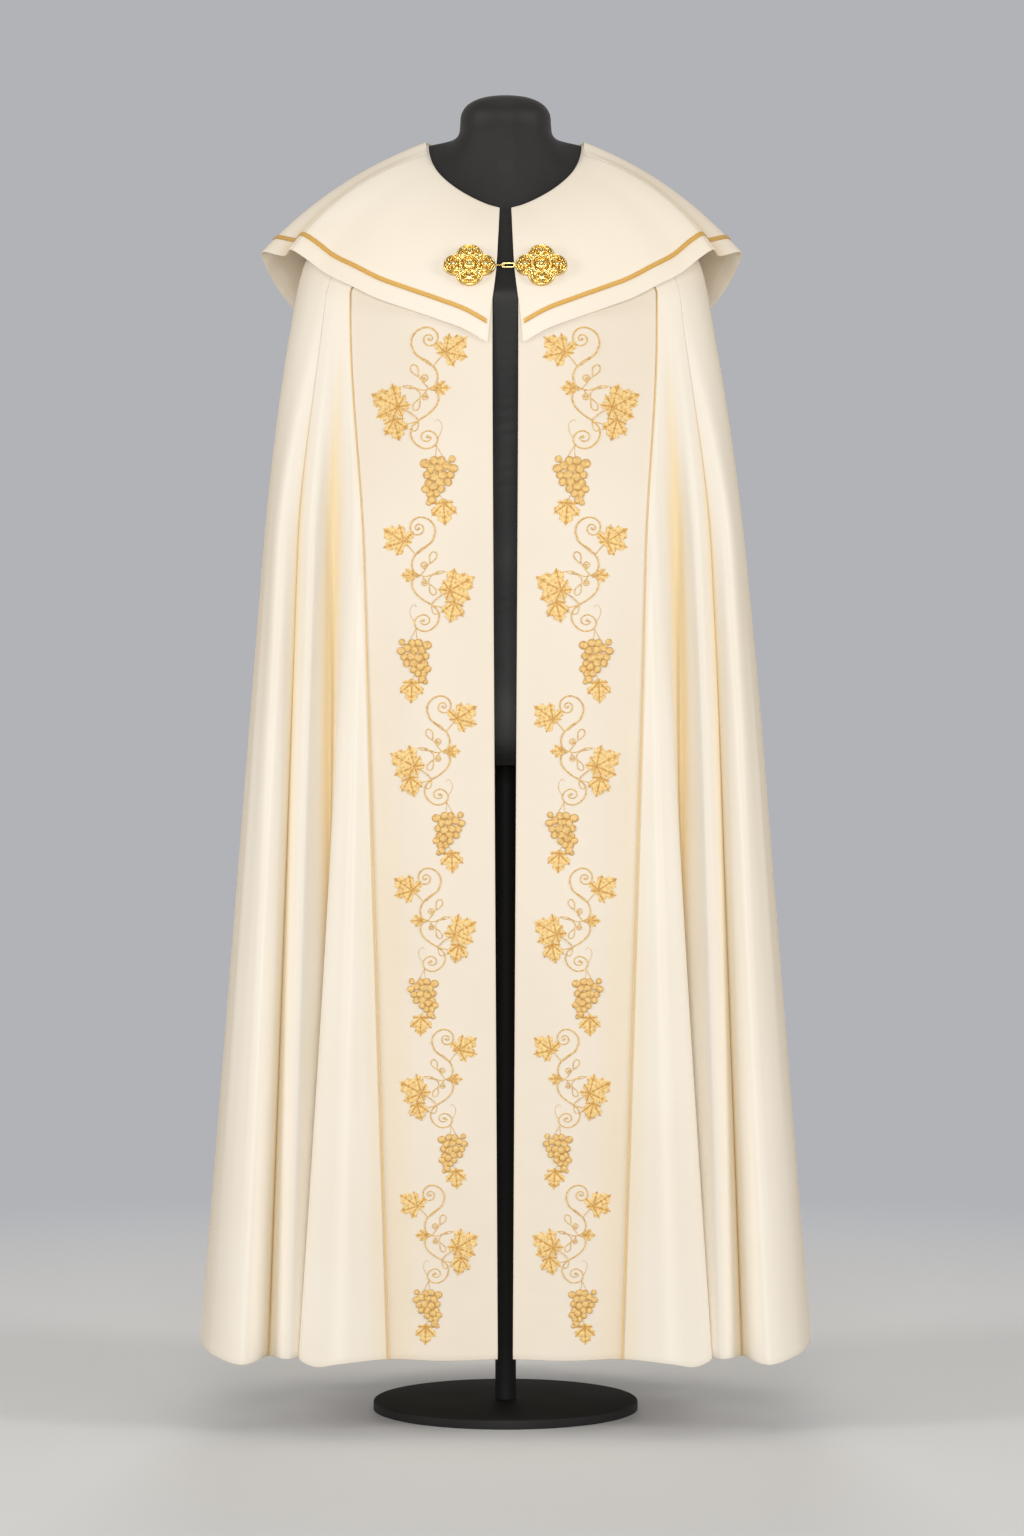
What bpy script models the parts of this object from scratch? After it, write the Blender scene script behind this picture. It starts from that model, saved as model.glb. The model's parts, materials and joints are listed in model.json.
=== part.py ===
"""A cope with its shoulder cape, orphreys, braid and clasp, on a limbless dress form.

The origin is on the floor under the pole, +Z is up, the front faces -Y and +X is the viewer's right.
Sizes and tables are in millimetres, and each mesh is made in metres. "out" is a distance from the
centre plane, the same on both sides of the body.
"""
import math

import bpy
from mathutils import Vector

MM = 0.001
UP = Vector((0.0, 0.0, 1.0))

# --- Cloth -----------------------------------------------------------------------------------------
CLOTH = 2.0              # wall of the lined satin
SEAM_GAP = 0.3           # between pieces that are sewn together, or that lie on each other
STEP_LENGTH = 34.0       # widest step round the hem of the mantle
MITRE_LIMIT = 0.5        # a wall grows to at most twice its width at a sharp fold
SLOPE_STEP = 0.01        # the part of an arc over which the slope of its end is read

WAIST_Z = 1060.0
FLARED_LINES = ("flute_c_front", "flute_c_side")
FLARE_POWER = 1.15       # these lines spread slowly below the waist, then faster
YOKE_Z = 1380.0

# The neckline is an oval in plan that climbs from a V at the front to the back of the neck.
NECK = {"half_width": 96.0, "front": 88.0, "back": 74.0, "squareness": 2.0}
NECK_V_Z = 1483.0
NECK_SIDE_RISE = 96.0
NECK_BACK_RISE = 5.0
NECK_V_POWER = 1.4

# The yoke is the oval where the shoulders end and the flutes start.
YOKE = {"half_width": 262.0, "front": 151.0, "back": 142.0, "squareness": 2.5}
SHOULDER_RISE = {"front": 8.5, "side": 39.0, "back": 16.0}

# The shoulder at +X is a little narrower: this part of the width, fading out below the yoke.
EASED_SHOULDER = 0.033
EASED_FROM_Z = 850.0
EASED_TO_Z = 1340.0
EASED_POWER = 1.5

# The cloth leaves the shoulder outwards at the sides, and hangs straight down from it at the front.
STRAIGHT_BELOW_ANGLE = 40.0
FREE_ABOVE_ANGLE = 75.0

# Rows down the mantle: parts of the way from the neckline to the yoke, then from the yoke to the waist
# and from the waist to the hem.
DOME_ROWS = (0.0, 0.2, 0.42, 0.64, 0.83, 1.0)
FALL_ROWS = (0.25, 0.5, 0.75, 1.0)
SKIRT_ROWS = (0.25, 0.5, 0.75, 1.0)
PIPING_TOP_ROW = 4

# Each fold line: its angles round the neckline and the yoke, out and y at the waist, then out, y and z
# at the hem.
FRONT_LINES = (
    ("front_edge", 6.5, 1.7, 14.5, -190.0, 9.0, -205.0, 91.0),
    ("orphrey_middle", 21.0, 18.0, 93.0, -194.0, 75.0, -209.0, 89.5),
    ("piping", 38.0, 41.6, 170.5, -187.0, 140.0, -208.0, 91.5),
    ("panel_swell", 41.0, 42.3, 178.0, -185.0, 197.0, -229.0, 88.5),
    ("flute_c_front", 44.0, 43.1, 184.0, -181.0, 227.0, -221.0, 84.0),
    ("flute_c_side", 47.0, 44.0, 190.5, -174.0, 247.5, -203.0, 92.0),
    ("flute_c_valley", 50.5, 46.2, 211.0, -148.0, 215.0, -140.0, 100.0),
    ("flute_b_front", 54.5, 49.2, 234.0, -156.0, 259.0, -200.0, 90.5),
    ("side_seam", 59.0, 53.3, 252.5, -135.0, 285.5, -176.0, 91.5),
    ("flute_a_front", 64.0, 58.0, 275.0, -137.0, 315.0, -211.0, 85.0),
    ("flute_a_crown", 72.0, 68.0, 292.0, -94.0, 352.0, -176.0, 92.0),
    ("flute_a_side", 82.0, 81.0, 300.0, -43.0, 373.0, -96.0, 99.0),
    ("flute_a_back", 92.0, 94.0, 301.0, 0.0, 370.0, -14.0, 96.0),
    ("side_valley", 102.0, 104.0, 290.0, 38.0, 333.0, 34.0, 95.0),
)
BACK_LEFT_LINES = (
    ("flute_1", 111.0, 114.0, 286.0, 78.0, 347.0, 112.0, 88.0),
    ("valley_1", 120.0, 123.0, 262.0, 106.0, 293.0, 126.0, 96.0),
    ("flute_2", 129.0, 132.0, 240.0, 140.0, 274.0, 214.0, 86.0),
    ("valley_2", 139.0, 141.0, 203.0, 151.0, 212.0, 194.0, 95.0),
    ("flute_3", 149.0, 150.0, 166.0, 180.0, 168.0, 262.0, 87.0),
    ("valley_3", 159.0, 159.0, 118.0, 178.0, 106.0, 219.0, 94.0),
    ("flute_4", 170.0, 169.0, 66.0, 197.0, 54.0, 274.0, 86.5),
)
BACK_RIGHT_LINES = (
    ("flute_1", 111.0, 114.0, 285.0, 80.0, 343.0, 121.0, 87.0),
    ("valley_1", 120.0, 124.0, 262.0, 108.0, 297.0, 135.0, 95.0),
    ("flute_2", 129.0, 133.0, 238.0, 139.0, 268.0, 207.0, 87.0),
    ("valley_2", 139.0, 141.0, 205.0, 150.0, 221.0, 189.0, 96.0),
    ("flute_3", 149.0, 149.0, 170.0, 180.0, 183.0, 268.0, 86.0),
    ("valley_3", 159.0, 158.0, 124.0, 178.0, 124.0, 222.0, 94.5),
    ("flute_4", 170.0, 168.0, 70.0, 195.0, 66.0, 263.0, 87.0),
)
CENTRE_BACK = (("centre_back", 180.0, 180.0, 0.0, 189.0, 0.0, 240.0, 92.0),)
CRISP_LINES = ("side_seam",)

# --- Shoulder cape ---------------------------------------------------------------------------------
CAPE_NECK_LIFT = 3.7     # the cape's neckline over the mantle's, middle of wall to middle of wall
CAPE_STEP = 30.0
CAPE_ROWS = (0.0, 0.2, 0.42, 0.64)
BRAID_INSET = 25.0       # middle of the braid to the cape's lower edge
BRAID_WIDTH = 6.0
BRAID_WALL = 1.2
BRAID_END = 4.0          # from the end of the braid to the cape's front edge

# Each line of the cape: its angle round the neckline, then its end on the lower edge, and its swell.
CAPE_LINES = (
    ("front_edge", 5.5, 18.0, -169.0, 1313.0, 18.0),
    ("front_1", 12.0, 50.0, -166.5, 1330.0, 19.0),
    ("front_2", 21.0, 86.0, -160.5, 1344.0, 18.0),
    ("front_3", 31.0, 127.0, -151.0, 1359.0, 20.0),
    ("front_4", 41.0, 158.0, -142.0, 1371.0, 21.0),
    ("front_5", 52.0, 190.0, -129.0, 1388.0, 22.0),
    ("front_6", 62.0, 221.0, -112.0, 1405.0, 22.0),
    ("front_7", 71.0, 246.0, -98.0, 1425.0, 20.0),
    ("shoulder", 78.0, 264.0, -84.0, 1437.0, 18.0),
    ("dip", 83.0, 273.0, -54.0, 1433.0, 17.0),
    ("tip", 90.0, 305.0, 2.0, 1444.0, 15.0),
    ("back_1", 98.0, 301.0, 32.0, 1429.0, 20.0),
    ("back_2", 107.0, 291.0, 70.0, 1411.0, 24.0),
    ("back_3", 119.0, 268.0, 112.0, 1383.0, 29.0),
    ("back_4", 135.0, 213.0, 150.0, 1333.0, 32.0),
    ("back_5", 156.0, 122.0, 172.0, 1277.0, 30.0),
)
CAPE_CENTRE_BACK = (("centre_back", 180.0, 0.0, 182.0, 1243.0, 27.0),)
CAPE_SEAM = "shoulder"

# --- Piping and clasp ------------------------------------------------------------------------------
PIPING_RADIUS = 1.0
PIPING_SIDES = 8

PLATE_OUT = 43.5         # middle of each plate, from the centre plane
PLATE_Z = 1409.0
PLATE_SIDES = 48
PLATE_LOBES = ((18.0, 0.0, 13.5), (-18.0, 0.0, 13.5), (0.0, 10.5, 17.0), (0.0, -10.5, 17.0))
PLATE_RINGS = ((1.0, 0.0), (1.0, 1.6), (0.93, 2.6), (0.62, 3.0), (0.36, 3.2), (0.33, 5.6), (0.2, 7.2))
PLATE_CROWN = 7.8
PLATE_REACH = 50.0       # cape this near the middle of a plate carries it
WIRE_RADIUS = 0.9
WIRE_SIDES = 8
LINK_LENGTH = 13.0       # from the middle of the link's round end to its far side
LINK_HALF_HEIGHT = 2.3
HOOK_RADIUS = 2.6        # of the hook's bend, which goes round the link's end
HOOK_START = -150.0
HOOK_SWEEP = 240.0
HOOK_SET = 0.4           # the shank leans out this much, and the bend is set on as much
BEND_STEPS = 8

# --- Dress form ------------------------------------------------------------------------------------
FORM_SEAT_GAP = 0.4      # the shoulders of the cope rest on the form
FORM_FRONT_GAP = 5.0     # more room where the cloth hangs free, at the front and back of the yoke
# Rings of the neck: height, half width and half depth; then of the torso below the yoke.
NECK_CENTRE_Y = -3.0
NECK_RINGS = (
    (1637.0, 16.0, 17.0),
    (1634.5, 33.0, 35.0),
    (1627.0, 48.0, 51.0),
    (1616.0, 55.5, 59.0),
    (1600.0, 57.0, 61.0),
    (1588.0, 60.0, 63.0),
)
TORSO_RINGS = (
    (1310.0, 206.0, 128.0, 112.0),
    (1230.0, 176.0, 122.0, 102.0),
    (1130.0, 148.0, 104.0, 90.0),
    (1050.0, 142.0, 98.0, 90.0),
    (960.0, 162.0, 106.0, 106.0),
    (880.0, 176.0, 112.0, 116.0),
    (820.0, 172.0, 108.0, 112.0),
    (804.0, 162.0, 100.0, 104.0),
)
TORSO_SQUARENESS = 2.3
POLE_RADIUS = 13.0
POLE_SIDES = 24
BASE_RADIUS = 165.0
BASE_THICKNESS = 12.0
BASE_BEVEL = 3.0
BASE_SIDES = 48


def clear_scene():
    """Removes whatever the file holds before the part is built."""
    for old in list(bpy.data.objects):
        bpy.data.objects.remove(old, do_unlink=True)


def finish(name, color, roughness, metallic=0.0):
    """A Principled material."""
    material = bpy.data.materials.new(name)
    material.use_nodes = True
    shader = material.node_tree.nodes["Principled BSDF"]
    shader.inputs["Base Color"].default_value = (*color, 1.0)
    shader.inputs["Roughness"].default_value = roughness
    shader.inputs["Metallic"].default_value = metallic
    return material


def add_object(name, points, faces, material, smooth_angle=30.0):
    """An object from points in millimetres and their faces."""
    mesh = bpy.data.meshes.new(name)
    mesh.from_pydata([point * MM for point in points], [], faces)
    mesh.validate()
    mesh.materials.append(material)
    mesh.shade_smooth()
    mesh.set_sharp_from_angle(angle=math.radians(smooth_angle))
    piece = bpy.data.objects.new(name, mesh)
    bpy.context.scene.collection.objects.link(piece)
    return piece


# --- Curves ----------------------------------------------------------------------------------------
def signed_power(value, power):
    """A power that keeps the sign of its base."""
    return math.copysign(abs(value) ** power, value)


def oval_point(oval, angle):
    """Out and y on an oval at an angle in degrees, 0 at the front and 180 at the back."""
    power = 2.0 / oval["squareness"]
    turn = math.radians(angle)
    depth = oval["front"] if angle <= 90.0 else oval["back"]
    out = oval["half_width"] * signed_power(math.sin(turn), power)
    return out, -depth * signed_power(math.cos(turn), power)


def neckline_point(angle, lift=0.0):
    """A point of the neckline, lifted off it outwards and upwards."""
    out, y = oval_point(NECK, angle)
    climb = min(angle, 180.0 - angle) / 90.0 if angle > 90.0 else angle / 90.0
    if angle <= 90.0:
        z = NECK_V_Z + NECK_SIDE_RISE * climb ** NECK_V_POWER
    else:
        z = NECK_V_Z + NECK_SIDE_RISE + NECK_BACK_RISE * (1.0 - climb)
    away = Vector((out, y, 0.0)).normalized() + UP
    return Vector((out, y, z)) + away.normalized() * lift


def arc_point(start, end, swell, part):
    """A point of a shallow arc that swells outwards and upwards from the chord between its ends."""
    chord = end - start
    across = math.hypot(chord.x, chord.y)
    outwards = Vector((chord.x, chord.y, 0.0)) / across
    normal = (outwards * -chord.z + UP * across).normalized()
    return start + chord * part + normal * (4.0 * swell * part * (1.0 - part))


def arc_slope(start, end, swell):
    """The change of out and y with z at the lower end of such an arc."""
    last = end - arc_point(start, end, swell, 1.0 - SLOPE_STEP)
    return last.x / last.z, last.y / last.z


def shoulder_rise(angle):
    """How far the mantle swells over its chord from neckline to yoke."""
    ends = SHOULDER_RISE["front"] if angle <= 90.0 else SHOULDER_RISE["back"]
    side = math.sin(math.radians(angle)) ** 2
    return ends + (SHOULDER_RISE["side"] - ends) * side


def hermite(start, end, start_slope, end_slope, part):
    """A cubic between two values with given slopes over the whole span."""
    square = part * part
    cube = square * part
    return (
        start * (2.0 * cube - 3.0 * square + 1.0)
        + start_slope * (cube - 2.0 * square + part)
        + end * (3.0 * square - 2.0 * cube)
        + end_slope * (cube - square)
    )


def mantle_line(row):
    """The points of one fold line, neckline to hem, on the side where out is positive x."""
    name, neck_angle, yoke_angle, waist_out, waist_y, hem_out, hem_y, hem_z = row
    neck = neckline_point(neck_angle)
    yoke = Vector((*oval_point(YOKE, yoke_angle), YOKE_Z))
    rise = shoulder_rise(yoke_angle)
    points = [arc_point(neck, yoke, rise, part) for part in DOME_ROWS]
    out_slope, y_slope = arc_slope(neck, yoke, rise)
    freedom = (yoke_angle - STRAIGHT_BELOW_ANGLE) / (FREE_ABOVE_ANGLE - STRAIGHT_BELOW_ANGLE)
    out_slope *= min(max(freedom, 0.0), 1.0)
    fall = WAIST_Z - YOKE_Z
    power = FLARE_POWER if name in FLARED_LINES else 1.0
    hem_slopes = ((hem_out - waist_out) / (hem_z - WAIST_Z), (hem_y - waist_y) / (hem_z - WAIST_Z))
    for part in FALL_ROWS:
        out = hermite(yoke.x, waist_out, out_slope * fall, hem_slopes[0] * fall, part)
        y = hermite(yoke.y, waist_y, y_slope * fall, hem_slopes[1] * fall, part)
        points.append(Vector((out, y, YOKE_Z + fall * part)))
    for part in SKIRT_ROWS:
        out = waist_out + (hem_out - waist_out) * part ** power
        points.append(Vector((out, waist_y + (hem_y - waist_y) * part, WAIST_Z + (hem_z - WAIST_Z) * part)))
    return points


def cape_line(row):
    """The points of one line of the shoulder cape, neckline to lower edge, where out is positive x."""
    _, angle, edge_out, edge_y, edge_z, swell = row
    neck = neckline_point(angle, CAPE_NECK_LIFT)
    edge = Vector((edge_out, edge_y, edge_z))
    length = (edge - neck).length
    braid_insets = (BRAID_INSET + BRAID_WIDTH / 2, BRAID_INSET - BRAID_WIDTH / 2)
    braid_rows = tuple(1.0 - inset / length for inset in braid_insets)
    return [arc_point(neck, edge, swell, part) for part in CAPE_ROWS + braid_rows + (1.0,)]


def mirrored(points):
    """The same points on the other side of the centre plane."""
    return [Vector((-point.x, point.y, point.z)) for point in points]


def eased(points):
    """The points of a line at +X, drawn in where the shoulder is narrower."""
    moved = []
    for point in points:
        height = min(max((point.z - EASED_FROM_Z) / (EASED_TO_Z - EASED_FROM_Z), 0.0), 1.0)
        width = min(point.x / YOKE["half_width"], 1.0)
        drawn = 1.0 - EASED_SHOULDER * height ** EASED_POWER * width
        moved.append(Vector((point.x * drawn, point.y, point.z)))
    return moved


def curve_point(before, start, end, after, part):
    """A point between start and end of a centripetal Catmull-Rom curve."""
    knots = [0.0]
    for first, second in ((before, start), (start, end), (end, after)):
        knots.append(knots[-1] + max((second - first).length, 1e-6) ** 0.5)
    place = knots[1] + (knots[2] - knots[1]) * part

    def between(first, second, low, high):
        return first * ((high - place) / (high - low)) + second * ((place - low) / (high - low))

    level_1 = [between(before, start, knots[0], knots[1]), between(start, end, knots[1], knots[2]),
               between(end, after, knots[2], knots[3])]
    level_2 = [between(level_1[0], level_1[1], knots[0], knots[2]),
               between(level_1[1], level_1[2], knots[1], knots[3])]
    return between(level_2[0], level_2[1], knots[1], knots[2])


class Cloth:
    """A sheet as a grid of points, with outward normals that keep the wall's width at a fold."""

    def __init__(self, lines, names, crisp, longest_step):
        """Lofts the sheet across its lines.

        lines holds the points of each line from the top row to the last, in order round the body from
        the left front edge over the back; names holds each line's name.
        """
        steps = []
        for first, second in zip(lines, lines[1:]):
            steps.append(max(1, round((second[-1] - first[-1]).length / longest_step)))
        self.column = {}
        place = 0
        for name, step in zip(names, steps + [0]):
            self.column[name] = place
            place += step
        self.rows = []
        for row in range(len(lines[0])):
            controls = [line[row] for line in lines]
            self.rows.append(self.section(controls, names, crisp, steps))
        self.normals = []
        self.tangents = []
        for row in range(len(self.rows)):
            tangents, normals = [], []
            for column in range(len(self.rows[0])):
                before, after = self.directions(row, column)
                fall = self.fall(row, column)
                side_normal = before.cross(fall).normalized()
                normal = (side_normal + after.cross(fall).normalized()).normalized()
                tangents.append((before + after).normalized())
                normals.append(normal / max(MITRE_LIMIT, normal.dot(side_normal)))
            self.tangents.append(tangents)
            self.normals.append(normals)

    @staticmethod
    def section(controls, names, crisp, steps):
        """One row of the grid, smooth across every line that isn't crisp."""
        points = []
        last = len(controls) - 1
        for index, step in enumerate(steps):
            start, end = controls[index], controls[index + 1]
            sharp_start = index == 0 or names[index].endswith(crisp)
            sharp_end = index + 1 == last or names[index + 1].endswith(crisp)
            before = start * 2.0 - end if sharp_start else controls[index - 1]
            after = end * 2.0 - start if sharp_end else controls[index + 2]
            points.extend(curve_point(before, start, end, after, part / step) for part in range(step))
        points.append(controls[-1])
        return points

    def directions(self, row, column):
        """The unit directions round the body before and after a point."""
        points = self.rows[row]
        last = len(points) - 1
        before = (points[max(column, 1)] - points[max(column, 1) - 1]).normalized()
        after = (points[min(column, last - 1) + 1] - points[min(column, last - 1)]).normalized()
        return before, after

    def fall(self, row, column):
        """The unit direction down the sheet at a point."""
        low, high = max(row - 1, 0), min(row + 1, len(self.rows) - 1)
        return (self.rows[high][column] - self.rows[low][column]).normalized()

    def moved(self, row, column, lift, along=0.0):
        """A grid point moved out along its normal and round the body."""
        return self.rows[row][column] + self.normals[row][column] * lift + self.tangents[row][column] * along

    def wall(self, rows, start, end, middle, wall, start_trim, end_trim):
        """Points and faces of a closed wall over some of the grid.

        rows is the range of rows, start and end are the first and last columns, and middle is how far
        the middle of the wall lies out from the sheet. The trims shorten the wall at its two ends.
        """
        columns = range(start, end + 1)
        trims = {start: start_trim, end: -end_trim}
        points = []
        for lift in (middle + wall / 2, middle - wall / 2):
            for row in rows:
                points.extend(self.moved(row, column, lift, trims.get(column, 0.0)) for column in columns)
        across, down = len(columns), len(rows)
        inner = across * down
        faces = []
        for row in range(down - 1):
            for column in range(across - 1):
                a = row * across + column
                b, c, d = a + 1, a + across + 1, a + across
                faces += [(a, c, d), (a, b, c)]
                faces += [(inner + a, inner + d, inner + c), (inner + a, inner + c, inner + b)]
        rim = list(range(across))
        rim += [row * across + across - 1 for row in range(1, down)]
        rim += [(down - 1) * across + column for column in range(across - 2, -1, -1)]
        rim += [row * across for row in range(down - 2, 0, -1)]
        for first, second in zip(rim, rim[1:] + rim[:1]):
            if first % across == 0 and second % across == 0:
                faces += [(first, inner + first, second), (second, inner + first, inner + second)]
            else:
                faces += [(first, inner + second, second), (first, inner + first, inner + second)]
        return points, faces


def loft_all(front, back_left, centre, back_right, make_line, crisp, step):
    """A cloth from the lines of the left front, mirrored to -X, the back and the right front."""
    left_rows = front + back_left
    right_rows = front + back_right
    lines = [mirrored(make_line(row)) for row in left_rows]
    lines += [make_line(row) for row in centre]
    lines += [eased(make_line(row)) for row in reversed(right_rows)]
    names = ["left_" + row[0] for row in left_rows]
    names += [row[0] for row in centre]
    names += ["right_" + row[0] for row in reversed(right_rows)]
    return Cloth(lines, names, crisp, step)


# --- Cloth pieces ----------------------------------------------------------------------------------
def add_panel(name, cloth, start, end, material, free_start=False, free_end=False):
    """A cloth piece between two named lines, from the top row to the hem."""
    seam = SEAM_GAP / 2
    points, faces = cloth.wall(
        range(len(cloth.rows)), cloth.column[start], cloth.column[end], 0.0, CLOTH,
        0.0 if free_start else seam, 0.0 if free_end else seam,
    )
    add_object(name, points, faces, material)


def add_mantle(cloth, satin):
    """The orphreys, the side fronts and the back."""
    add_panel("orphrey_left", cloth, "left_front_edge", "left_piping", satin, free_start=True)
    add_panel("mantle_left", cloth, "left_piping", "left_side_seam", satin)
    add_panel("mantle_back", cloth, "left_side_seam", "right_side_seam", satin)
    add_panel("mantle_right", cloth, "right_side_seam", "right_piping", satin)
    add_panel("orphrey_right", cloth, "right_piping", "right_front_edge", satin, free_end=True)


def add_cape(cloth, satin, gold_thread):
    """The shoulder cape and the braid that lies on it."""
    left, right = "left_" + CAPE_SEAM, "right_" + CAPE_SEAM
    add_panel("cape_left", cloth, "left_front_edge", left, satin, free_start=True)
    add_panel("cape_back", cloth, left, right, satin)
    add_panel("cape_right", cloth, right, "right_front_edge", satin, free_end=True)
    inner_row = len(CAPE_ROWS)
    middle = CLOTH / 2 + SEAM_GAP + BRAID_WALL / 2
    seam = SEAM_GAP / 2
    for name, start, end, start_trim, end_trim in (
        ("braid_left", "left_front_edge", left, BRAID_END, seam),
        ("braid_back", left, right, seam, seam),
        ("braid_right", right, "right_front_edge", seam, BRAID_END),
    ):
        points, faces = cloth.wall(
            range(inner_row, inner_row + 2), cloth.column[start], cloth.column[end], middle, BRAID_WALL,
            start_trim, end_trim,
        )
        add_object(name, points, faces, gold_thread)


def tube(route, sides, radius, side_hint):
    """Points and faces of a round tube along a route, with flat ends."""
    points = []
    for index, place in enumerate(route):
        ahead = route[min(index + 1, len(route) - 1)]
        behind = route[max(index - 1, 0)]
        along = (ahead - behind).normalized()
        across = side_hint.cross(along).normalized()
        third = along.cross(across)
        for side in range(sides):
            turn = 2.0 * math.pi * side / sides
            points.append(place + across * (radius * math.cos(turn)) + third * (radius * math.sin(turn)))
    faces = []
    for ring in range(len(route) - 1):
        for side in range(sides):
            a = ring * sides + side
            b = ring * sides + (side + 1) % sides
            faces += [(a, b, b + sides), (a, b + sides, a + sides)]
    faces.append(tuple(reversed(range(sides))))
    first = (len(route) - 1) * sides
    faces.append(tuple(range(first, first + sides)))
    return points, faces


def closed_tube(route, sides, radius, side_hint):
    """Points and faces of a round tube round a closed route."""
    points = []
    count = len(route)
    for index, place in enumerate(route):
        along = (route[(index + 1) % count] - route[index - 1]).normalized()
        across = side_hint.cross(along).normalized()
        third = along.cross(across)
        for side in range(sides):
            turn = 2.0 * math.pi * side / sides
            points.append(place + across * (radius * math.cos(turn)) + third * (radius * math.sin(turn)))
    faces = []
    for ring in range(count):
        for side in range(sides):
            a, b = ring * sides + side, ring * sides + (side + 1) % sides
            c, d = (ring + 1) % count * sides + side, (ring + 1) % count * sides + (side + 1) % sides
            faces += [(a, b, d), (a, d, c)]
    return points, faces


def add_piping(cloth, gold_thread):
    """The piping in each orphrey's outer seam, from under the cape to the hem."""
    lift = CLOTH / 2 + SEAM_GAP + PIPING_RADIUS
    for side in ("left", "right"):
        column = cloth.column[side + "_piping"]
        route = [cloth.moved(row, column, lift) for row in range(PIPING_TOP_ROW, len(cloth.rows))]
        points, faces = tube(route, PIPING_SIDES, PIPING_RADIUS, Vector((0.0, 1.0, 0.0)))
        add_object("piping_" + side, points, faces, gold_thread, 60.0)


# --- Clasp -----------------------------------------------------------------------------------------
def lobed_radius(turn):
    """The plate's outline: the furthest lobe along a direction from its middle."""
    ray = Vector((math.cos(turn), math.sin(turn)))
    furthest = 0.0
    for x, y, radius in PLATE_LOBES:
        along = x * ray.x + y * ray.y
        off_square = x * x + y * y - along * along
        if off_square <= radius * radius:
            furthest = max(furthest, along + math.sqrt(radius * radius - off_square))
    return furthest


def plate_seat(cloth, side_sign):
    """The middle of a plate's back and its outward direction, just clear of the cape's front."""
    nearest = None
    for row in range(len(cloth.rows)):
        for column in range(len(cloth.rows[0])):
            point = cloth.rows[row][column]
            if point.x * side_sign > 0.0 and point.y < 0.0:
                away = math.hypot(point.x - side_sign * PLATE_OUT, point.z - PLATE_Z)
                if nearest is None or away < nearest[0]:
                    nearest = (away, point, cloth.normals[row][column])
    _, point, normal = nearest
    y = point.y - (normal.x * (side_sign * PLATE_OUT - point.x) + normal.z * (PLATE_Z - point.z)) / normal.y
    middle = Vector((side_sign * PLATE_OUT, y, PLATE_Z))
    highest = -math.inf
    for row in range(len(cloth.rows)):
        for column in range(len(cloth.rows[0])):
            surface = cloth.moved(row, column, CLOTH / 2)
            if surface.x * side_sign > 0.0 and (surface - middle).length < PLATE_REACH:
                highest = max(highest, (surface - middle).dot(normal))
    return middle + normal * (highest + SEAM_GAP), normal


def add_plate(name, cloth, side_sign, gold):
    """One plate of the clasp: a lobed plate with a raised boss. Returns its frame."""
    middle, normal = plate_seat(cloth, side_sign)
    across = UP.cross(normal).normalized()
    upwards = normal.cross(across)
    points = []
    for scale, height in PLATE_RINGS:
        for side in range(PLATE_SIDES):
            turn = 2.0 * math.pi * side / PLATE_SIDES
            radius = lobed_radius(turn) * scale
            outline = across * (radius * math.cos(turn)) + upwards * (radius * math.sin(turn))
            points.append(middle + outline + normal * height)
    points.append(middle + normal * PLATE_CROWN)
    faces = [tuple(reversed(range(PLATE_SIDES)))]
    for ring in range(len(PLATE_RINGS) - 1):
        for side in range(PLATE_SIDES):
            a = ring * PLATE_SIDES + side
            b = ring * PLATE_SIDES + (side + 1) % PLATE_SIDES
            faces.append((a, b, b + PLATE_SIDES, a + PLATE_SIDES))
    last = (len(PLATE_RINGS) - 1) * PLATE_SIDES
    for side in range(PLATE_SIDES):
        faces.append((last + side, last + (side + 1) % PLATE_SIDES, len(points) - 1))
    add_object(name, points, faces, gold, 40.0)
    return middle, normal, across


def add_clasp(cloth, gold):
    """Both plates, the link on the right one and the hook on the left one."""
    left_middle, left_normal, left_across = add_plate("morse_plate_left", cloth, -1.0, gold)
    right_middle, right_normal, right_across = add_plate("morse_plate_right", cloth, 1.0, gold)
    tip = lobed_radius(0.0)
    edge_height = PLATE_RINGS[1][1] / 2
    left_tip = left_middle + left_normal * edge_height + left_across * tip
    right_tip = right_middle + right_normal * edge_height - right_across * tip
    wire_y = min(left_tip.y, right_tip.y)
    height = (left_tip.z + right_tip.z) / 2

    link_end = right_tip.x - SEAM_GAP - WIRE_RADIUS
    link_start = link_end - LINK_LENGTH
    route = []
    for centre, first in ((link_start, 90.0), (link_end - LINK_HALF_HEIGHT, -90.0)):
        for step in range(BEND_STEPS + 1):
            turn = math.radians(first + 180.0 * step / BEND_STEPS)
            x = centre + LINK_HALF_HEIGHT * math.cos(turn)
            route.append(Vector((x, wire_y, height + LINK_HALF_HEIGHT * math.sin(turn))))
    points, faces = closed_tube(route, WIRE_SIDES, WIRE_RADIUS, Vector((0.0, 1.0, 0.0)))
    add_object("morse_link", points, faces, gold, 60.0)

    bend = link_start - LINK_HALF_HEIGHT
    route = [Vector((left_tip.x + SEAM_GAP, wire_y, height))]
    route.append(Vector((bend - HOOK_RADIUS, wire_y - HOOK_SET, height)))
    for step in range(BEND_STEPS + 1):
        turn = math.radians(HOOK_START + HOOK_SWEEP * step / BEND_STEPS)
        x = bend + HOOK_SET + HOOK_RADIUS * math.cos(turn)
        route.append(Vector((x, wire_y + HOOK_RADIUS * math.sin(turn), height)))
    points, faces = tube(route, WIRE_SIDES, WIRE_RADIUS, UP)
    add_object("morse_hook", points, faces, gold, 60.0)


# --- Dress form ------------------------------------------------------------------------------------
def form_gap(angle):
    """The room between the form and the cope: a seat on the shoulders, more at front and back."""
    return FORM_SEAT_GAP + FORM_FRONT_GAP * math.cos(angle) ** 4


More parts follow.
